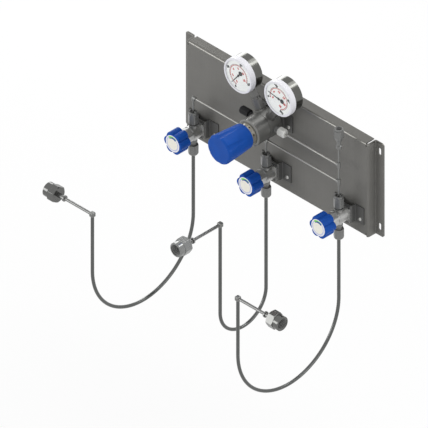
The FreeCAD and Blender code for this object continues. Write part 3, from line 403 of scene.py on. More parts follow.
def discFinish(name, x, z):
    finish = Finish(name, Specular_IOR_Level=0.35)
    where = finish.place(location=(-x, 0, -z))
    across = finish.part(where, 0)
    upwards = finish.part(where, 2)
    radius = finish.add("ShaderNodeMath", {"operation": "SQRT"}, {0: across * across + upwards * upwards})
    angle = finish.add("ShaderNodeMath", {"operation": "ARCTAN2"}, {0: upwards, 1: across})
    clouds = finish.noise(finish.place(), discPrint["clouds"])
    face = finish.mix(clouds, *discPrint["cream"])
    face = finish.mix(finish.smooth(radius, *discPrint["borderEdges"]), face, discPrint["border"])
    dashes = finish.smooth((angle * discPrint["dashes"]).sine(), -0.4, 0.4) * 0.45 + 0.45
    ring = radius.between(*discPrint["ringEdges"], discPrint["soft"]) * dashes
    face = finish.mix(ring, face, discPrint["ring"])
    first, last = (math.radians(degrees) for degrees in discPrint["bandAngles"])
    band = radius.between(*discPrint["bandEdges"], discPrint["soft"])
    band = band * angle.between(first, last, discPrint["softAngle"])
    first, last = (math.radians(degrees) for degrees in discPrint["partingAngles"])
    parting = radius - finish.smooth(angle, first, last) * discPrint["partingRise"]
    green = finish.smooth(parting, *discPrint["partingEdges"])
    leaf = finish.mix(finish.smooth(angle, *discPrint["greenAngles"]), *discPrint["greens"])
    face = finish.mix(band, face, finish.mix(green, discPrint["blue"], leaf))
    finish.feed("Base Color", face)
    grains = finish.noise(finish.place(), discPrint["grains"])
    finish.feed("Roughness", clouds * 0.1 + 0.3)
    finish.bump(grains, 3e-6)
    return finish.material


def glassFinish(name):
    finish = Finish(name, Roughness=0.04, IOR=1.5, Specular_IOR_Level=0.1)
    smears = finish.noise(finish.place(), 55.0)
    finish.feed("Base Color", finish.mix(smears, (0.93, 0.95, 0.96), (1, 1, 1)))
    finish.feed("Alpha", smears * 0.02 + 0.02)
    finish.feed("Roughness", smears * 0.06 + 0.02)
    return finish.material


gaugeGlass = glassFinish("gauge glass")
print("stage: finishes made")

# CAD nodes that are right as they are get their finish here
finishOf = {
    "back_panel": panelSteel,
    "valve_brackets": bracketSteel,
    "regulator_bracket": bracketSteel,
    "bonnet_ring": ringSteel,
    "bourdon_tubes": brassTube,
    "cylinder_nipples": nippleSteel,
    "cylinder_nut_1": nutSteel["X"],
    "cylinder_nut_2": nutSteel["Y"],
    "cylinder_nut_3": nutSteel["X"],
    "gauge_adaptors": stemSteel,
    "gauge_bezels": bezelPlastic,
    "gauge_cases": caseSteel,
    "gauge_dials": dialPaint,
    "gauge_lenses": gaugeGlass,
    "gauge_pointer_1": pointerPaint,
    "gauge_pointer_2": pointerPaint,
    "gauge_sockets": stemSteel,
    "header_tubes": headerSteel,
    "riser_tubes": pipeSteel["Z"],
    "inlet_connectors": turnedSteel["Z"],
    "outlet_connectors": turnedSteel["Z"],
    "outlet_nuts": turnedSteel["Z"],
    "panel_outlet_connector": turnedSteel["Z"],
    "panel_outlet_nut": turnedSteel["Z"],
    "pigtail_elbows": pipeSteel["all"],
    "pigtail_nuts": turnedSteel["Z"],
    "range_spring": springSteel,
    "regulator_body": barrelSteel,
    "regulator_bonnet": barrelSteel,
    "regulator_diaphragm": springSteel,
    "regulator_poppet": turnedSteel["Y"],
    "regulator_port_connector": turnedSteel["X"],
    "regulator_port_nut": portNutPlatedWithPaintedHighlight,
    "relief_valve": blackEnamel,
    "seat_rings": seatPlastic,
    "spring_button": turnedSteel["Y"],
    "adjusting_screw": turnedSteel["Y"],
    "valve_bonnets": bonnetSteel,
    "valve_diaphragms": springSteel,
    "weld_fittings": pipeSteel["all"],
    "bracket_fasteners": brightSteel,
    "regulator_knob": bluePlastic,
}
for number in (1, 2, 3):
    finishOf[f"valve_body_{number}"] = valveSteel
    finishOf[f"valve_plunger_{number}"] = turnedSteel["Y"]
    finishOf[f"valve_spindle_{number}"] = turnedSteel["Y"]
    finishOf[f"handwheel_{number}"] = bluePlastic
    finishOf[f"pigtail_tube_{number}"] = pigtailSteel
    low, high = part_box(f"wheel_disc_{number}")
    middle = (low + high) / 2
    finishOf[f"wheel_disc_{number}"] = discFinish(f"printed wheel disc {number}", middle.x, middle.z)
for name, node in nodes.items():
    for slot in node.material_slots:
        slot.material = finishOf[name]
print("stage: CAD nodes finished")


def solidMesh(name, rings, steps):
    # a closed skin about +Z through rings of (radius or function of the angle, height)
    # radius 0 is a pole, and a last ring equal to the first closes a tube
    mesh = bmesh.new()
    rows = []
    for radius, height in rings:
        if rows and (radius, height) == rings[0]:
            rows.append(rows[0])
            continue
        if radius == 0:
            rows.append([mesh.verts.new((0, 0, height))])
            continue
        row = []
        for step in range(steps):
            angle = 2 * math.pi * step / steps
            reach = radius(angle) if callable(radius) else radius
            row.append(mesh.verts.new((reach * math.cos(angle), reach * math.sin(angle), height)))
        rows.append(row)
    for first, second in zip(rows, rows[1:]):
        for step in range(steps):
            after = (step + 1) % steps
            corners = [first[step % len(first)], first[after % len(first)]]
            corners += [second[after % len(second)], second[step % len(second)]]
            corners = list(dict.fromkeys(corners))
            mesh.faces.new(corners)
    bmesh.ops.recalc_face_normals(mesh, faces=mesh.faces)
    data = bpy.data.meshes.new(name)
    mesh.to_mesh(data)
    mesh.free()
    return data


def piece(name, data, body, finish, replaced=(), smoothBelow=32.0):
    # a finished object at the origin, riding on its body, smooth over edges of less than some degrees
    data.materials.clear()
    data.materials.append(finish)
    made = bpy.data.objects.new(name, data)
    bpy.context.scene.collection.objects.link(made)
    if smoothBelow:
        data.shade_smooth()
        data.set_sharp_from_angle(angle=math.radians(smoothBelow))
    if body:
        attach(made, body)
    if replaced:
        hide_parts(*replaced)
    return made


def joined(name, parts):
    # one mesh out of several (mesh, matrix) pairs
    whole = bmesh.new()
    for data, matrix in parts:
        copied = data.copy()
        copied.transform(matrix)
        whole.from_mesh(copied)
        bpy.data.meshes.remove(copied)
    data = bpy.data.meshes.new(name)
    whole.to_mesh(data)
    whole.free()
    return data


def quarterTurn(steps):
    # the angles of a rounded edge, from 0 to 90 degrees
    return [math.radians(90 * step / steps) for step in range(steps + 1)]


# Handwheels: lobes and hollows with rounded ends, a seat for the disc and a hollow back
wheel = {
    "lobes": 6,
    "tip": 20.4 * mm,
    "lobe": 8.2 * mm,
    "valley": 17.4 * mm,
    "endTip": 19.0 * mm,
    "endValley": 16.5 * mm,
    "tipShare": 0.4,  # of half a pitch, within which a lobe's tip lies
    "round": 1.8 * mm,
    "roundSteps": 5,
    "seat": 15.56 * mm,
    "seatDepth": 1.3 * mm,
    "seatEdge": (0.08 * mm, 0.1 * mm),  # across and deep, as all such pairs
    "hollow": 14.0 * mm,
    "hollowDepth": 3.0 * mm,
    "hollowEdge": 0.3 * mm,
    "bore": 3.05 * mm,
    "grooveDepth": 0.22 * mm,
    "grooveWidth": 0.035,  # radians, as is the offset from a lobe's middle
    "grooveOffset": 0.235,
    "steps": 240,
}


def lobedRadius(angle):
    pitch = math.pi / wheel["lobes"]
    offset = (angle + pitch) % (2 * pitch) - pitch  # from the middle of the nearest lobe
    lobeCentre = wheel["tip"] - wheel["lobe"]
    reach = lobeCentre * math.cos(pitch)
    hollow = (lobeCentre**2 + wheel["valley"] ** 2 - 2 * wheel["valley"] * reach - wheel["lobe"] ** 2) / 2
    hollow /= wheel["lobe"] - wheel["valley"] + reach
    hollowCentre = wheel["valley"] + hollow
    beside = pitch - abs(offset)
    onLobe = lobeCentre * math.cos(offset)
    onLobe += math.sqrt(max(0.0, wheel["lobe"] ** 2 - (lobeCentre * math.sin(offset)) ** 2))
    spare = hollow**2 - (hollowCentre * math.sin(beside)) ** 2
    if spare <= 0:
        return onLobe
    inHollow = hollowCentre * math.cos(beside) - math.sqrt(spare)
    nearTip = abs(offset) < pitch * wheel["tipShare"]
    return max(onLobe, inHollow) if nearTip else min(onLobe, inHollow)


def wheelRadius(share):
    # the side's outline at share 1, the smaller outline of the end faces at 0
    def radius(angle):
        side = lobedRadius(angle)
        pitch = 2 * math.pi / wheel["lobes"]
        offset = abs((angle + pitch / 2) % pitch - pitch / 2)
        besideGroove = (offset - wheel["grooveOffset"]) / wheel["grooveWidth"]
        groove = wheel["grooveDepth"] * math.exp(-(besideGroove**2))
        span = (side - wheel["valley"]) / (wheel["tip"] - wheel["valley"])
        end = wheel["endValley"] + span * (wheel["endTip"] - wheel["endValley"])
        return end + (side - groove - end) * share
    return radius


def wheelMesh(length):
    rings = [
        (wheel["bore"], wheel["hollowDepth"]),
        (wheel["hollow"], wheel["hollowDepth"]),
        (wheel["hollow"], wheel["hollowEdge"]),
        (wheel["hollow"] + wheel["hollowEdge"], 0.0),
        (wheelRadius(0.0), 0.0),
    ]
    turns = quarterTurn(wheel["roundSteps"])[1:]
    edge = [(wheelRadius(math.sin(turn)), wheel["round"] * (1 - math.cos(turn))) for turn in turns]
    rings += edge
    rings.append((wheelRadius(1.0), length / 2))
    rings += [(outline, length - height) for outline, height in reversed(edge)]
    rings += [
        (wheelRadius(0.0), length),
        (wheel["seat"] + wheel["seatEdge"][0], length),
        (wheel["seat"], length - wheel["seatEdge"][1]),
        (wheel["seat"], length - wheel["seatDepth"]),
        (wheel["bore"], length - wheel["seatDepth"]),
        (wheel["bore"], wheel["hollowDepth"]),
    ]
    return solidMesh("handwheel", rings, wheel["steps"])


for number in (1, 2, 3):
    low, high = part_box(f"handwheel_{number}")
    shape = wheelMesh(high.y - low.y)
    shape.transform(Matrix.Translation(((low.x + high.x) / 2, high.y, (low.z + high.z) / 2)) @ toFront)
    node = f"handwheel_{number}"
    piece(f"grip_{number}", shape, node, bluePlastic, [node])
print("stage: handwheels made")

# Regulator knob: a tapered shell with flutes scooped into its front edge, which run out towards the back
knob = {
    "backRadius": 22.4 * mm,
    "frontRadius": 26.5 * mm,
    "round": 4.0 * mm,
    "roundSteps": 7,
    "backRound": 1.8 * mm,
    "backSteps": 6,
    "wall": 3.6 * mm,
    "mouth": (0.3 * mm, 0.4 * mm),  # the open back's inner edge
    "roofEdge": 2.0 * mm,
    "stem": 4.05 * mm,
    "stemEnd": 8.8 * mm,
    "hub": 8.0 * mm,
    "hubStart": 4.0 * mm,
    "flutes": 6,
    "fluteRadius": 9.0 * mm,
    "fluteDepth": 2.7 * mm,
    "fluteRise": 0.6 * mm,
    "fluteSoft": 0.16 * mm,
    "dish": 0.3 * mm,
    "dishRings": (0.93, 0.8, 0.6, 0.3),
    "axisHeight": 44.0 * mm,
    "steps": 288,
    "rows": 34,
}


def knobMesh(length):
    run = length - knob["round"]  # the tapered side's end
    slope = (knob["frontRadius"] - knob["backRadius"]) / run
    foot = knob["backRadius"] + knob["fluteRise"] + knob["fluteRadius"]
    head = knob["frontRadius"] - knob["fluteDepth"] + knob["fluteRadius"]
    pitch = 2 * math.pi / knob["flutes"]

    def fluted(radius, height):
        centre = foot + (head - foot) * height / run

        def at(angle):
            offset = angle % pitch - pitch / 2
            spare = knob["fluteRadius"] ** 2 - (centre * math.sin(offset)) ** 2
            if spare <= 0:
                return radius
            cut = centre * math.cos(offset) - math.sqrt(spare)
            soft = knob["fluteSoft"]
            gap = radius - cut
            if gap < -4 * soft:
                return radius
            return radius - soft * math.log1p(math.exp(min(30.0, gap / soft)))
        return at

    roof = run - knob["wall"]
    innerFront = knob["backRadius"] + slope * roof - knob["wall"]
    innerBack = knob["backRadius"] - knob["wall"]
    rings = [
        (0, length - knob["stemEnd"]),
        (knob["stem"], length - knob["stemEnd"]),
        (knob["stem"], knob["hubStart"]),
        (knob["hub"], knob["hubStart"]),
        (knob["hub"], roof),
        (innerFront - knob["roofEdge"], roof),
        (innerBack, knob["mouth"][1]),
        (innerBack + knob["mouth"][0], 0.0),
    ]
    for turn in quarterTurn(knob["backSteps"])[:-1]:
        height = knob["backRound"] * (1 - math.cos(turn))
        radius = knob["backRadius"] + slope * height - knob["backRound"] * (1 - math.sin(turn))
        rings.append((fluted(radius, height), height))
    for row in range(knob["rows"] + 1):
        height = knob["backRound"] + (run - knob["backRound"]) * row / knob["rows"]
        rings.append((fluted(knob["backRadius"] + slope * height, height), height))
    for turn in quarterTurn(knob["roundSteps"])[1:]:
        height = run + knob["round"] * math.sin(turn)
        radius = knob["frontRadius"] - knob["round"] * (1 - math.cos(turn))
        rings.append((fluted(radius, height), height))
    inset = knob["frontRadius"] - knob["round"]
    for share in knob["dishRings"]:
        rings.append((inset * share, length - knob["dish"] * (1 - share**2)))
    rings.append((0, length - knob["dish"]))
    return solidMesh("knob", rings, knob["steps"])


low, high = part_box("regulator_knob")
knobBack = Vector((0.0, high.y, knob["axisHeight"]))
shape = knobMesh(high.y - low.y)
shape.transform(Matrix.Translation(knobBack) @ toFront)
piece("pressure_knob", shape, "knob", bluePlastic, ["regulator_knob"], smoothBelow=50.0)
print("stage: knob made")


def growingTree(name, sizes):
    # a Geometry Nodes tree with one named input for each size
    tree = bpy.data.node_groups.new(name, "GeometryNodeTree")
    tree.interface.new_socket("Geometry", in_out="INPUT", socket_type="NodeSocketGeometry")
    tree.interface.new_socket("Geometry", in_out="OUTPUT", socket_type="NodeSocketGeometry")
    kinds = {int: "NodeSocketInt", float: "NodeSocketFloat"}
    for label, value in sizes.items():
        kind = kinds.get(type(value), "NodeSocketObject")
        item = tree.interface.new_socket(label, in_out="INPUT", socket_type=kind)
        if type(value) in kinds:
            item.default_value = value
    wiring = Wiring(tree)
    entry = tree.nodes.new("NodeGroupInput")
    given = {socket.name: Signal(wiring, socket) for socket in entry.outputs if socket.name}
    return wiring, given


def leave(wiring, geometry, finish):
    # the tree's last nodes
    plain = wiring.add("GeometryNodeRealizeInstances", {}, {0: geometry})
    painted = wiring.add("GeometryNodeSetMaterial", {}, {0: plain, "Material": finish})
    wiring.tree.links.new(painted.socket, wiring.tree.nodes.new("NodeGroupOutput").inputs[0])


def grown(wiring, sizes, points=()):
    # the tree's result as a plain mesh
    data = bpy.data.meshes.new("seed")
    data.from_pydata(points, [], [])
    holder = bpy.data.objects.new("seed", data)
    bpy.context.scene.collection.objects.link(holder)
    modifier = holder.modifiers.new("grow", "NODES")
    modifier.node_group = wiring.tree
    for item in wiring.tree.interface.items_tree:
        if item.item_type == "SOCKET" and item.in_out == "INPUT" and item.name in sizes:
            modifier[item.identifier] = sizes[item.name]
    bpy.context.view_layer.update()
    result = bpy.data.meshes.new_from_object(holder.evaluated_get(bpy.context.evaluated_depsgraph_get()))
    bpy.data.objects.remove(holder)
    return result


# Dial scales: rings of ticks and numbers, turned with each gauge's lean
dial = {
    "sweep": math.radians(270.0),
    "ticks": 51,
    "tickRadius": 19.4 * mm,
    "tickLength": 1.5 * mm,
    "tickWidth": 0.85 * mm,
    "majorEvery": 10,
    "majorLonger": 0.6,
    "majorWider": 0.5,
    "outerTicks": 31,
    "outerRadius": 21.2 * mm,
    "outerLength": 0.9 * mm,
    "outerWidth": 0.3 * mm,
    "redLine": (18.2 * mm, 18.9 * mm),
    "greyLine": (20.35 * mm, 20.75 * mm),
    "redRadius": 13.8 * mm,
    "redSize": 5.6 * mm,
    "blackRadius": 24.6 * mm,
    "blackSize": 5.6 * mm,
    "bold": 0.45 * mm,
    "figureSteps": 3,
    "lineSteps": 90,
    "lift": 0.04 * mm,
}
dials = [
    {"top": 120.0, "red": ["0", "2", "4", "6", "8", "10"], "black": ["0", "50", "100", "150"]},
    {"top": 60.0, "red": ["0", "5", "10", "15", "20", "25"], "black": ["0", "100", "200", "300"]},
]
# the tree's inputs and their defaults
scaleSizes = {"Count": 51, "Radius": 0.02, "Start": 0.0, "Sweep": 1.0, "Length": 0.001, "Width": 0.0004}


def scaleTree(finish):
    wiring, given = growingTree("dial ticks " + finish.name, scaleSizes)
    index = wiring.add("GeometryNodeInputIndex")
    angle = given["Start"] - given["Sweep"] * index / (given["Count"] - 1)
    around = {0: angle.cosine() * given["Radius"], 1: angle.sine() * given["Radius"]}
    where = wiring.add("ShaderNodeCombineXYZ", {}, around)
    points = wiring.add("GeometryNodePoints", {}, {"Count": given["Count"]})
    points = wiring.add("GeometryNodeSetPosition", {}, {"Geometry": points, "Position": where})
    mark = {"Size X": given["Length"], "Size Y": given["Width"], "Vertices X": 2, "Vertices Y": 2}
    grid = wiring.add("GeometryNodeMeshGrid", {}, mark)
    major = (index % dial["majorEvery"]) < 0.5
    larger = {0: major * dial["majorLonger"] + 1, 1: major * dial["majorWider"] + 1, 2: 1.0}
    stretch = wiring.add("ShaderNodeCombineXYZ", {}, larger)
    turn = wiring.add("ShaderNodeCombineXYZ", {}, {2: angle})
    sizes = {"Points": points, "Instance": grid, "Rotation": turn, "Scale": stretch}
    leave(wiring, wiring.add("GeometryNodeInstanceOnPoints", {}, sizes), finish)
    return wiring


def figure(text, size):
    # one number as a flat mesh, centred, on the plane Z = 0
    curve = bpy.data.curves.new("figure", "FONT")
    curve.body = text
    curve.size = size
    curve.align_x = "CENTER"
    curve.align_y = "CENTER"
    curve.resolution_u = dial["figureSteps"]
    curve.offset = dial["bold"]
    holder = bpy.data.objects.new("figure", curve)
    bpy.context.scene.collection.objects.link(holder)
    bpy.context.view_layer.update()
    data = bpy.data.meshes.new_from_object(holder.evaluated_get(bpy.context.evaluated_depsgraph_get()))
    bpy.data.objects.remove(holder)
    return data


def arcLine(radii, start, sweep):
    # a thin printed arc between two radii
    steps = dial["lineSteps"]
    points = []
    for step in range(steps + 1):
        angle = start - sweep * step / steps
        points += [(radius * math.cos(angle), radius * math.sin(angle), 0) for radius in radii]
    faces = [(2 * step, 2 * step + 2, 2 * step + 3, 2 * step + 1) for step in range(steps)]
    data = bpy.data.meshes.new("arc line")
    data.from_pydata(points, [], faces)
    return data


redTree = scaleTree(inkRed)
greyTree = scaleTree(inkGrey)
low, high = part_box("gauge_dials")
dialFace = low.y - dial["lift"]
dialZ = (low.z + high.z) / 2
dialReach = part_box("gauge_bezels")[1].x - (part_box("gauge_bezels")[1].z - dialZ)  # X of the right-hand gauge
prints = {"red": [], "black": [], "redTicks": [], "greyTicks": []}
for side, layout in zip((-1, 1), dials):
    spot = Matrix.Translation((side * dialReach, dialFace, dialZ)) @ toFront
    start = math.radians(layout["top"]) + dial["sweep"] / 2
    ticks = {"Start": start, "Sweep": dial["sweep"]}
    inner = {"Count": dial["ticks"], "Radius": dial["tickRadius"]}
    inner.update({"Length": dial["tickLength"], "Width": dial["tickWidth"]})
    outer = {"Count": dial["outerTicks"], "Radius": dial["outerRadius"]}
    outer.update({"Length": dial["outerLength"], "Width": dial["outerWidth"]})
    prints["redTicks"].append((grown(redTree, ticks | inner), spot))
    prints["greyTicks"].append((grown(greyTree, ticks | outer), spot))
    prints["red"].append((arcLine(dial["redLine"], start, dial["sweep"]), spot))
    prints["black"].append((arcLine(dial["greyLine"], start, dial["sweep"]), spot))
    upright = Matrix.Rotation(math.radians(layout["top"] - 90), 4, "Z")
    for colour in ("red", "black"):
        texts = layout[colour]
        for order, text in enumerate(texts):
            angle = start - dial["sweep"] * order / (len(texts) - 1)
            reach = dial[colour + "Radius"]
            offset = Matrix.Translation((reach * math.cos(angle), reach * math.sin(angle), 0))
            prints[colour].append((figure(text, dial[colour + "Size"]), spot @ offset @ upright))
inks = {"red": inkRed, "black": inkBlack, "redTicks": inkRed, "greyTicks": inkGrey}
for key, parts in prints.items():
    piece("dial_" + key, joined(key, parts), "panel", inks[key], smoothBelow=0)
print("stage: dials printed")

# Gauge rims and windows. The rim's sizes are in millimetres, with heights from the port plane
rim = {
    "seat": 30.85,
    "outer": 32.2,
    "opening": 28.4,
    "back": 8.5,
    "backEdge": 0.5,
    "front": 19.5,
    "round": 1.5,
    "roundSteps": 6,
    "lipEdge": 0.35,
    "lipRound": 0.1,
    "lipWall": 0.8,
    "foot": 17.4,
    "ledge": 18.35,
    "steps": 144,
}
window = {
    "radius": 28.38 * mm,
    "crown": 0.12 * mm,
    "low": 18.65 * mm,
    "high": 19.05 * mm,
    "rings": 4,
    "steps": 96,
}


def inMillimetres(rings):
    return [(radius * mm, height * mm) for radius, height in rings]


def rimMesh():
    # a moulded rim whose inner lip reaches down to the dial
    rings = [
        (rim["seat"], rim["back"]),
        (rim["outer"] - rim["backEdge"], rim["back"]),
        (rim["outer"], rim["back"] + rim["backEdge"]),
    ]
    corner = rim["outer"] - rim["round"], rim["front"] - rim["round"]
    for turn in quarterTurn(rim["roundSteps"]):
        rings.append((corner[0] + rim["round"] * math.cos(turn), corner[1] + rim["round"] * math.sin(turn)))
    rings += [
        (rim["opening"] + rim["lipEdge"], rim["front"]),
        (rim["opening"] + rim["lipRound"], rim["front"] - rim["lipRound"]),
        (rim["opening"], rim["front"] - rim["lipEdge"]),
        (rim["opening"], rim["foot"]),
        (rim["opening"] + rim["lipWall"], rim["foot"]),
        (rim["opening"] + rim["lipWall"], rim["ledge"]),
        (rim["seat"], rim["ledge"]),
        (rim["seat"], rim["back"]),
    ]
    return solidMesh("rim", inMillimetres(rings), rim["steps"])


def windowMesh():
    rings = [(0, window["low"]), (window["radius"], window["low"]), (window["radius"], window["high"])]
    for step in range(window["rings"] - 1, 0, -1):
        share = step / window["rings"]
        rings.append((window["radius"] * share, window["high"] + window["crown"] * (1 - share**2)))
    rings.append((0, window["high"] + window["crown"]))
    return solidMesh("window", rings, window["steps"])


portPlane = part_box("gauge_bezels")[0].y + rim["front"] * mm
seats = [Matrix.Translation((side * dialReach, portPlane, dialZ)) @ toFront for side in (-1, 1)]
rims = joined("rims", [(rimMesh(), seat) for seat in seats])
piece("gauge_rims", rims, "panel", bezelPlastic, ["gauge_bezels"], smoothBelow=30.0)
windows = joined("windows", [(windowMesh(), seat) for seat in seats])
piece("gauge_windows", windows, "panel", gaugeGlass, ["gauge_lenses"], smoothBelow=30.0)

# Needles: a low cap over the pivot and a round weight on the tail, as (radius, height) in millimetres
needle = {
    "cap": [(0, 17.9), (1.75, 17.9), (1.75, 18.15), (1.3, 18.3), (0.6, 18.36), (0, 18.37)],
    "weight": [(0, 17.9), (4.1, 17.9), (4.1, 18.05), (3.9, 18.15), (0, 18.15)],
    "tail": 8.0 * mm,
    "angles": (232, 171),
    "steps": 32,
}
for number, (seat, angle) in enumerate(zip(seats, needle["angles"]), 1):
    behind = Matrix.Rotation(math.radians(angle), 4, "Z") @ Matrix.Translation((-needle["tail"], 0, 0))
    parts = []
    for key, place in (("cap", seat), ("weight", seat @ behind)):
        parts.append((solidMesh("needle disc", inMillimetres(needle[key]), needle["steps"]), place))
    shape, body = joined("needle cap", parts), f"pointer_{number}"
    piece(f"needle_cap_{number}", shape, body, pointerPaint, smoothBelow=30.0)
print("stage: gauges glazed")

# Threads inside the cylinder nuts and the outlet nut, one ridge along a helix
thread = {
    "nut": {"pitch": 1.8 * mm, "ridge": 0.75 * mm},
    "outlet": {"pitch": 1.2 * mm, "ridge": 0.5 * mm},
    "steps": 40,
    "sides": 4,
}
# the tree's inputs and their defaults
threadSizes = {"Radius": 0.01, "Length": 0.014, "Turns": 8.0, "Ridge": 0.0007, "Steps": 40, "Sides": 4}
threadWiring, given = growingTree("thread ridge", threadSizes)
helix = threadWiring.add("GeometryNodeCurveSpiral", {}, {
    "Resolution": given["Steps"],
    "Rotations": given["Turns"],
    "Start Radius": given["Radius"],
    "End Radius": given["Radius"],
    "Height": given["Length"],
})
helix = threadWiring.add("GeometryNodeSetCurveNormal", {"mode": "Z_UP"}, {0: helix})
profile = {"Resolution": given["Sides"], "Radius": given["Ridge"]}
ridge = threadWiring.add("GeometryNodeCurvePrimitiveCircle", {}, profile)
sweep = {"Curve": helix, "Profile Curve": ridge, "Fill Caps": True}
swept = threadWiring.add("GeometryNodeCurveToMesh", {}, sweep)
leave(threadWiring, swept, turnedSteel["Z"])


def addThread(name, mount, body, finish, kind):
    # the ridge of a threaded hole, at the place, radius and length that the record gives its mount
    data = next(entry for entry in frame["record"]["mounts"] if entry["name"] == mount)
    ridgeSize = thread[kind]["ridge"]
    length = data["dims"]["length_mm"] * mm - 2 * ridgeSize
    shape = grown(threadWiring, {
        "Radius": data["dims"]["r_mm"] * mm,
        "Length": length,
        "Turns": length / thread[kind]["pitch"],
        "Ridge": ridgeSize,
        "Steps": thread["steps"],
        "Sides": thread["sides"],
    })
    axis = Vector(data["axis"])
    turn = Vector((0, 0, 1)).rotation_difference(axis).to_matrix().to_4x4()
    start = Vector(data["pos_m"]) - axis * length / 2
    shape.transform(Matrix.Translation(start) @ turn)
    piece(name, shape, body, finish, smoothBelow=25.0)


for number, axis in ((1, "X"), (2, "Y"), (3, "X")):
    mount, body = f"cylinder_thread_{number}", f"cylinder_nut_{number}"
    addThread(f"nut_thread_{number}", mount, body, turnedSteel[axis], "nut")
addThread("outlet_thread", "gas_outlet", "panel", turnedSteel["Z"], "outlet")
print("stage: threads cut")

# Range spring: the same helix with a round wire, between its plate and the moving button
spring = {"wire": 2.2 * mm, "turns": 4.5, "steps": 48, "sides": 14}
low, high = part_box("range_spring")
middle = (low + high) / 2
shape = grown(threadWiring, {
    "Radius": (high.x - low.x - spring["wire"]) / 2,
    "Length": high.y - low.y - spring["wire"],
    "Turns": spring["turns"],
    "Ridge": spring["wire"] / 2,
    "Steps": spring["steps"],
    "Sides": spring["sides"],
})
start = Matrix.Translation((middle.x, high.y - spring["wire"] / 2, middle.z))
shape.transform(start @ Matrix.Rotation(math.pi / 2, 4, "X"))
coil = piece("range_coil", shape, None, springSteel, ["range_spring"], smoothBelow=40.0)
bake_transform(coil)
print("stage: range spring wound")

# Bracket screws with a hexagon socket in a domed head, and the nuts behind the panel
screw = {
    "headRadius": 3.5 * mm,
    "headHeight": 2.2 * mm,
    "headEdge": 0.1 * mm,
    "domeSteps": 8,
    "domeShare": 0.62,  # of the way from the head's edge to its middle
    "shank": 2.0 * mm,
    "shankEdge": 0.3 * mm,
    "socketFlats": 2.5 * mm,
    "socketDepth": 1.3 * mm,
    "socketEdge": (0.3 * mm, 0.15 * mm),
    "socketCone": 0.4 * mm,
    "lipDrop": 0.12 * mm,
    "nutFlats": 7.0 * mm,
    "nutHeight": 3.2 * mm,
    "nutEdge": (0.45 * mm, 0.35 * mm),
    "sheets": 4.0 * mm,
    "tail": 1.0 * mm,
    "faceY": -22.0 * mm,
    "drop": 5.6 * mm,
    "steps": 48,
    "brackets": (  # each one's middle, across and up, and how far its screws are from it
        (-168.0 * mm, -57.5 * mm, 25.1 * mm),
        (0.0, -57.5 * mm, 25.1 * mm),
        (168.0 * mm, -57.5 * mm, 25.1 * mm),
        (0.0, 44.0 * mm, 28.5 * mm),
    ),
}


def hexagon(flats, largest=1.0):
    def radius(angle):
        sector = math.pi / 3
        offset = (angle + sector / 2) % sector - sector / 2
        return min(flats / 2 / math.cos(offset), largest)
    return radius


def screwMesh():
    dome = (screw["headRadius"] ** 2 + screw["headHeight"] ** 2) / 2 / screw["headHeight"]
    reach = math.asin(screw["headRadius"] / dome)
    nutBack = -screw["sheets"] - screw["nutHeight"]
    back = nutBack - screw["tail"]
    corner = screw["nutFlats"] / 2 / math.cos(math.pi / 6)
    rings = [
        (0, back),
        (screw["shank"] - screw["shankEdge"], back),
        (screw["shank"], back + screw["shankEdge"]),
        (screw["shank"], nutBack),
        (hexagon(screw["nutFlats"], corner - screw["nutEdge"][0]), nutBack),
        (hexagon(screw["nutFlats"]), nutBack + screw["nutEdge"][1]),
        (hexagon(screw["nutFlats"]), -screw["sheets"]),
        (screw["shank"], -screw["sheets"]),
        (screw["shank"], 0.0),
        (screw["headRadius"] - screw["headEdge"], 0.0),
    ]
    for step in range(screw["domeSteps"]):
        turn = reach * (1 - step / screw["domeSteps"] * screw["domeShare"])
        rings.append((dome * math.sin(turn), screw["headHeight"] - dome + dome * math.cos(turn)))
    lip = screw["headHeight"] - screw["lipDrop"]
    socketFloor = screw["headHeight"] - screw["socketDepth"]
    rings += [
        (hexagon(screw["socketFlats"] + screw["socketEdge"][0]), lip),
        (hexagon(screw["socketFlats"]), lip - screw["socketEdge"][1]),
        (hexagon(screw["socketFlats"]), socketFloor),
        (0, socketFloor - screw["socketCone"]),
    ]
    return solidMesh("screw", rings, screw["steps"])


places = []
for centreX, centreZ, reachX in screw["brackets"]:
    for side in (-1, 1):
        places.append((centreX + side * reachX, screw["faceY"], centreZ - screw["drop"]))
master = bpy.data.objects.new("screw", screwMesh())
master.data.transform(toFront)
bpy.context.scene.collection.objects.link(master)
rowWiring, given = growingTree("screw rows", {"Screw": master})
one = rowWiring.add("GeometryNodeObjectInfo", {}, {0: given["Screw"]}, "Geometry")
screwSet = rowWiring.add("GeometryNodeInstanceOnPoints", {}, {"Points": given["Geometry"], "Instance": one})
leave(rowWiring, screwSet, brightSteel)
screws = grown(rowWiring, {"Screw": master}, places)
bpy.data.objects.remove(master)
replaced = ["bracket_fasteners"]
piece("bracket_screws", screws, "panel", brightSteel, replaced, smoothBelow=35.0)
print("stage: screws set")

# Floor, far enough below for a soft shadow, and plain light
studio = {
    "floor": -0.46,
    "floorReach": 6.0,
    "floorTone": (0.86, 0.86, 0.86, 1),
    "ambient": 0.76,
    "background": 1.0,
    "shadowShare": 0.14,
}


def seenDirectly(wiring):
    kinds = ("Is Camera Ray", "Is Glossy Ray", "Is Transmission Ray")
    direct, glossy, through = (wiring.add("ShaderNodeLightPath", {}, {}, kind) for kind in kinds)
    return wiring.add("ShaderNodeMath", {"operation": "MINIMUM"}, {0: direct + glossy + through, 1: 1.0})


world = bpy.data.worlds.new("studio")
world.use_nodes = True
bpy.context.scene.world = world
air = Wiring(world.node_tree)
sky = world.node_tree.nodes["Background"]
strength = seenDirectly(air) * (studio["background"] - studio["ambient"]) + studio["ambient"]
air.tree.links.new(strength.socket, sky.inputs["Strength"])
sky.inputs["Color"].default_value = (1, 1, 1, 1)

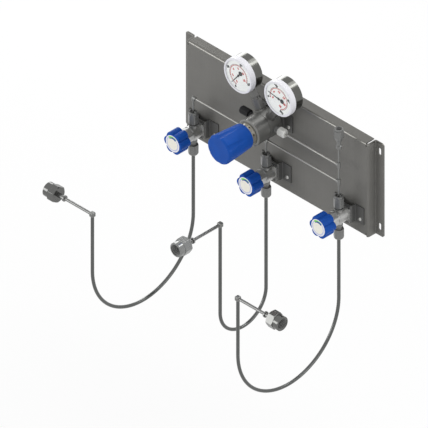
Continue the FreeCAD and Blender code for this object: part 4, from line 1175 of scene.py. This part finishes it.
floorMesh = bpy.data.meshes.new("floor")
reach = studio["floorReach"]
corners = [(-reach, -reach, 0), (reach, -reach, 0), (reach, reach, 0), (-reach, reach, 0)]
floorMesh.from_pydata(corners, [], [(0, 1, 2, 3)])
floorMesh.transform(Matrix.Translation((0, 0, studio["floor"])))
floor = bpy.data.objects.new("floor", floorMesh)
bpy.context.scene.collection.objects.link(floor)
floorFinish = bpy.data.materials.new("pale floor")
floorFinish.use_nodes = True
ground = Wiring(floorFinish.node_tree)
matte = ground.tree.nodes["Principled BSDF"]
matte.inputs["Base Color"].default_value = studio["floorTone"]
matte.inputs["Roughness"].default_value = 0.9
matte.inputs["Specular IOR Level"].default_value = 0.0
glow = ground.add("ShaderNodeEmission", {}, {"Color": (1, 1, 1, 1), "Strength": studio["background"]})
both = ground.add("ShaderNodeMixShader", {}, {
    0: seenDirectly(ground) * (1 - studio["shadowShare"]),
    1: Signal(ground, matte.outputs[0]),
    2: glow,
})
ground.tree.links.new(both.socket, ground.tree.nodes["Material Output"].inputs["Surface"])
floorMesh.materials.append(floorFinish)

lamps = {
    "left front": {"from": (-0.577, -0.789, 0.211), "away": 6.0, "size": (2.8, 2.3), "level": 4.2},
    "above": {"from": (0.07, 0.32, 0.95), "away": 2.4, "size": (1.0, 1.6), "level": 2.0},
    "right side": {"from": (0.96, 0.18, 0.1), "away": 2.4, "size": (0.9, 0.9), "level": 2.2},
    "strip over the wall": {"from": (0.293, 0.577, 0.762), "away": 1.6, "size": (0.26, 1.1), "level": 5.0},
    "strip behind left": {"from": (-0.788, 0.577, 0.211), "away": 1.6, "size": (0.3, 0.9), "level": 4.0},
}
aim = Vector((0, -0.1, -0.05))  # about the object's middle
for name, lamp in lamps.items():
    light = bpy.data.lights.new(name, "AREA")
    light.shape = "RECTANGLE"
    light.size, light.size_y = lamp["size"]
    light.energy = lamp["level"] * math.pi * light.size * light.size_y
    holder = bpy.data.objects.new(name, light)
    bpy.context.scene.collection.objects.link(holder)
    direction = Vector(lamp["from"]).normalized()
    holder.location = aim + direction * lamp["away"]
    holder.rotation_euler = (-direction).to_track_quat("-Z", "Y").to_euler()
print("stage: studio lit")
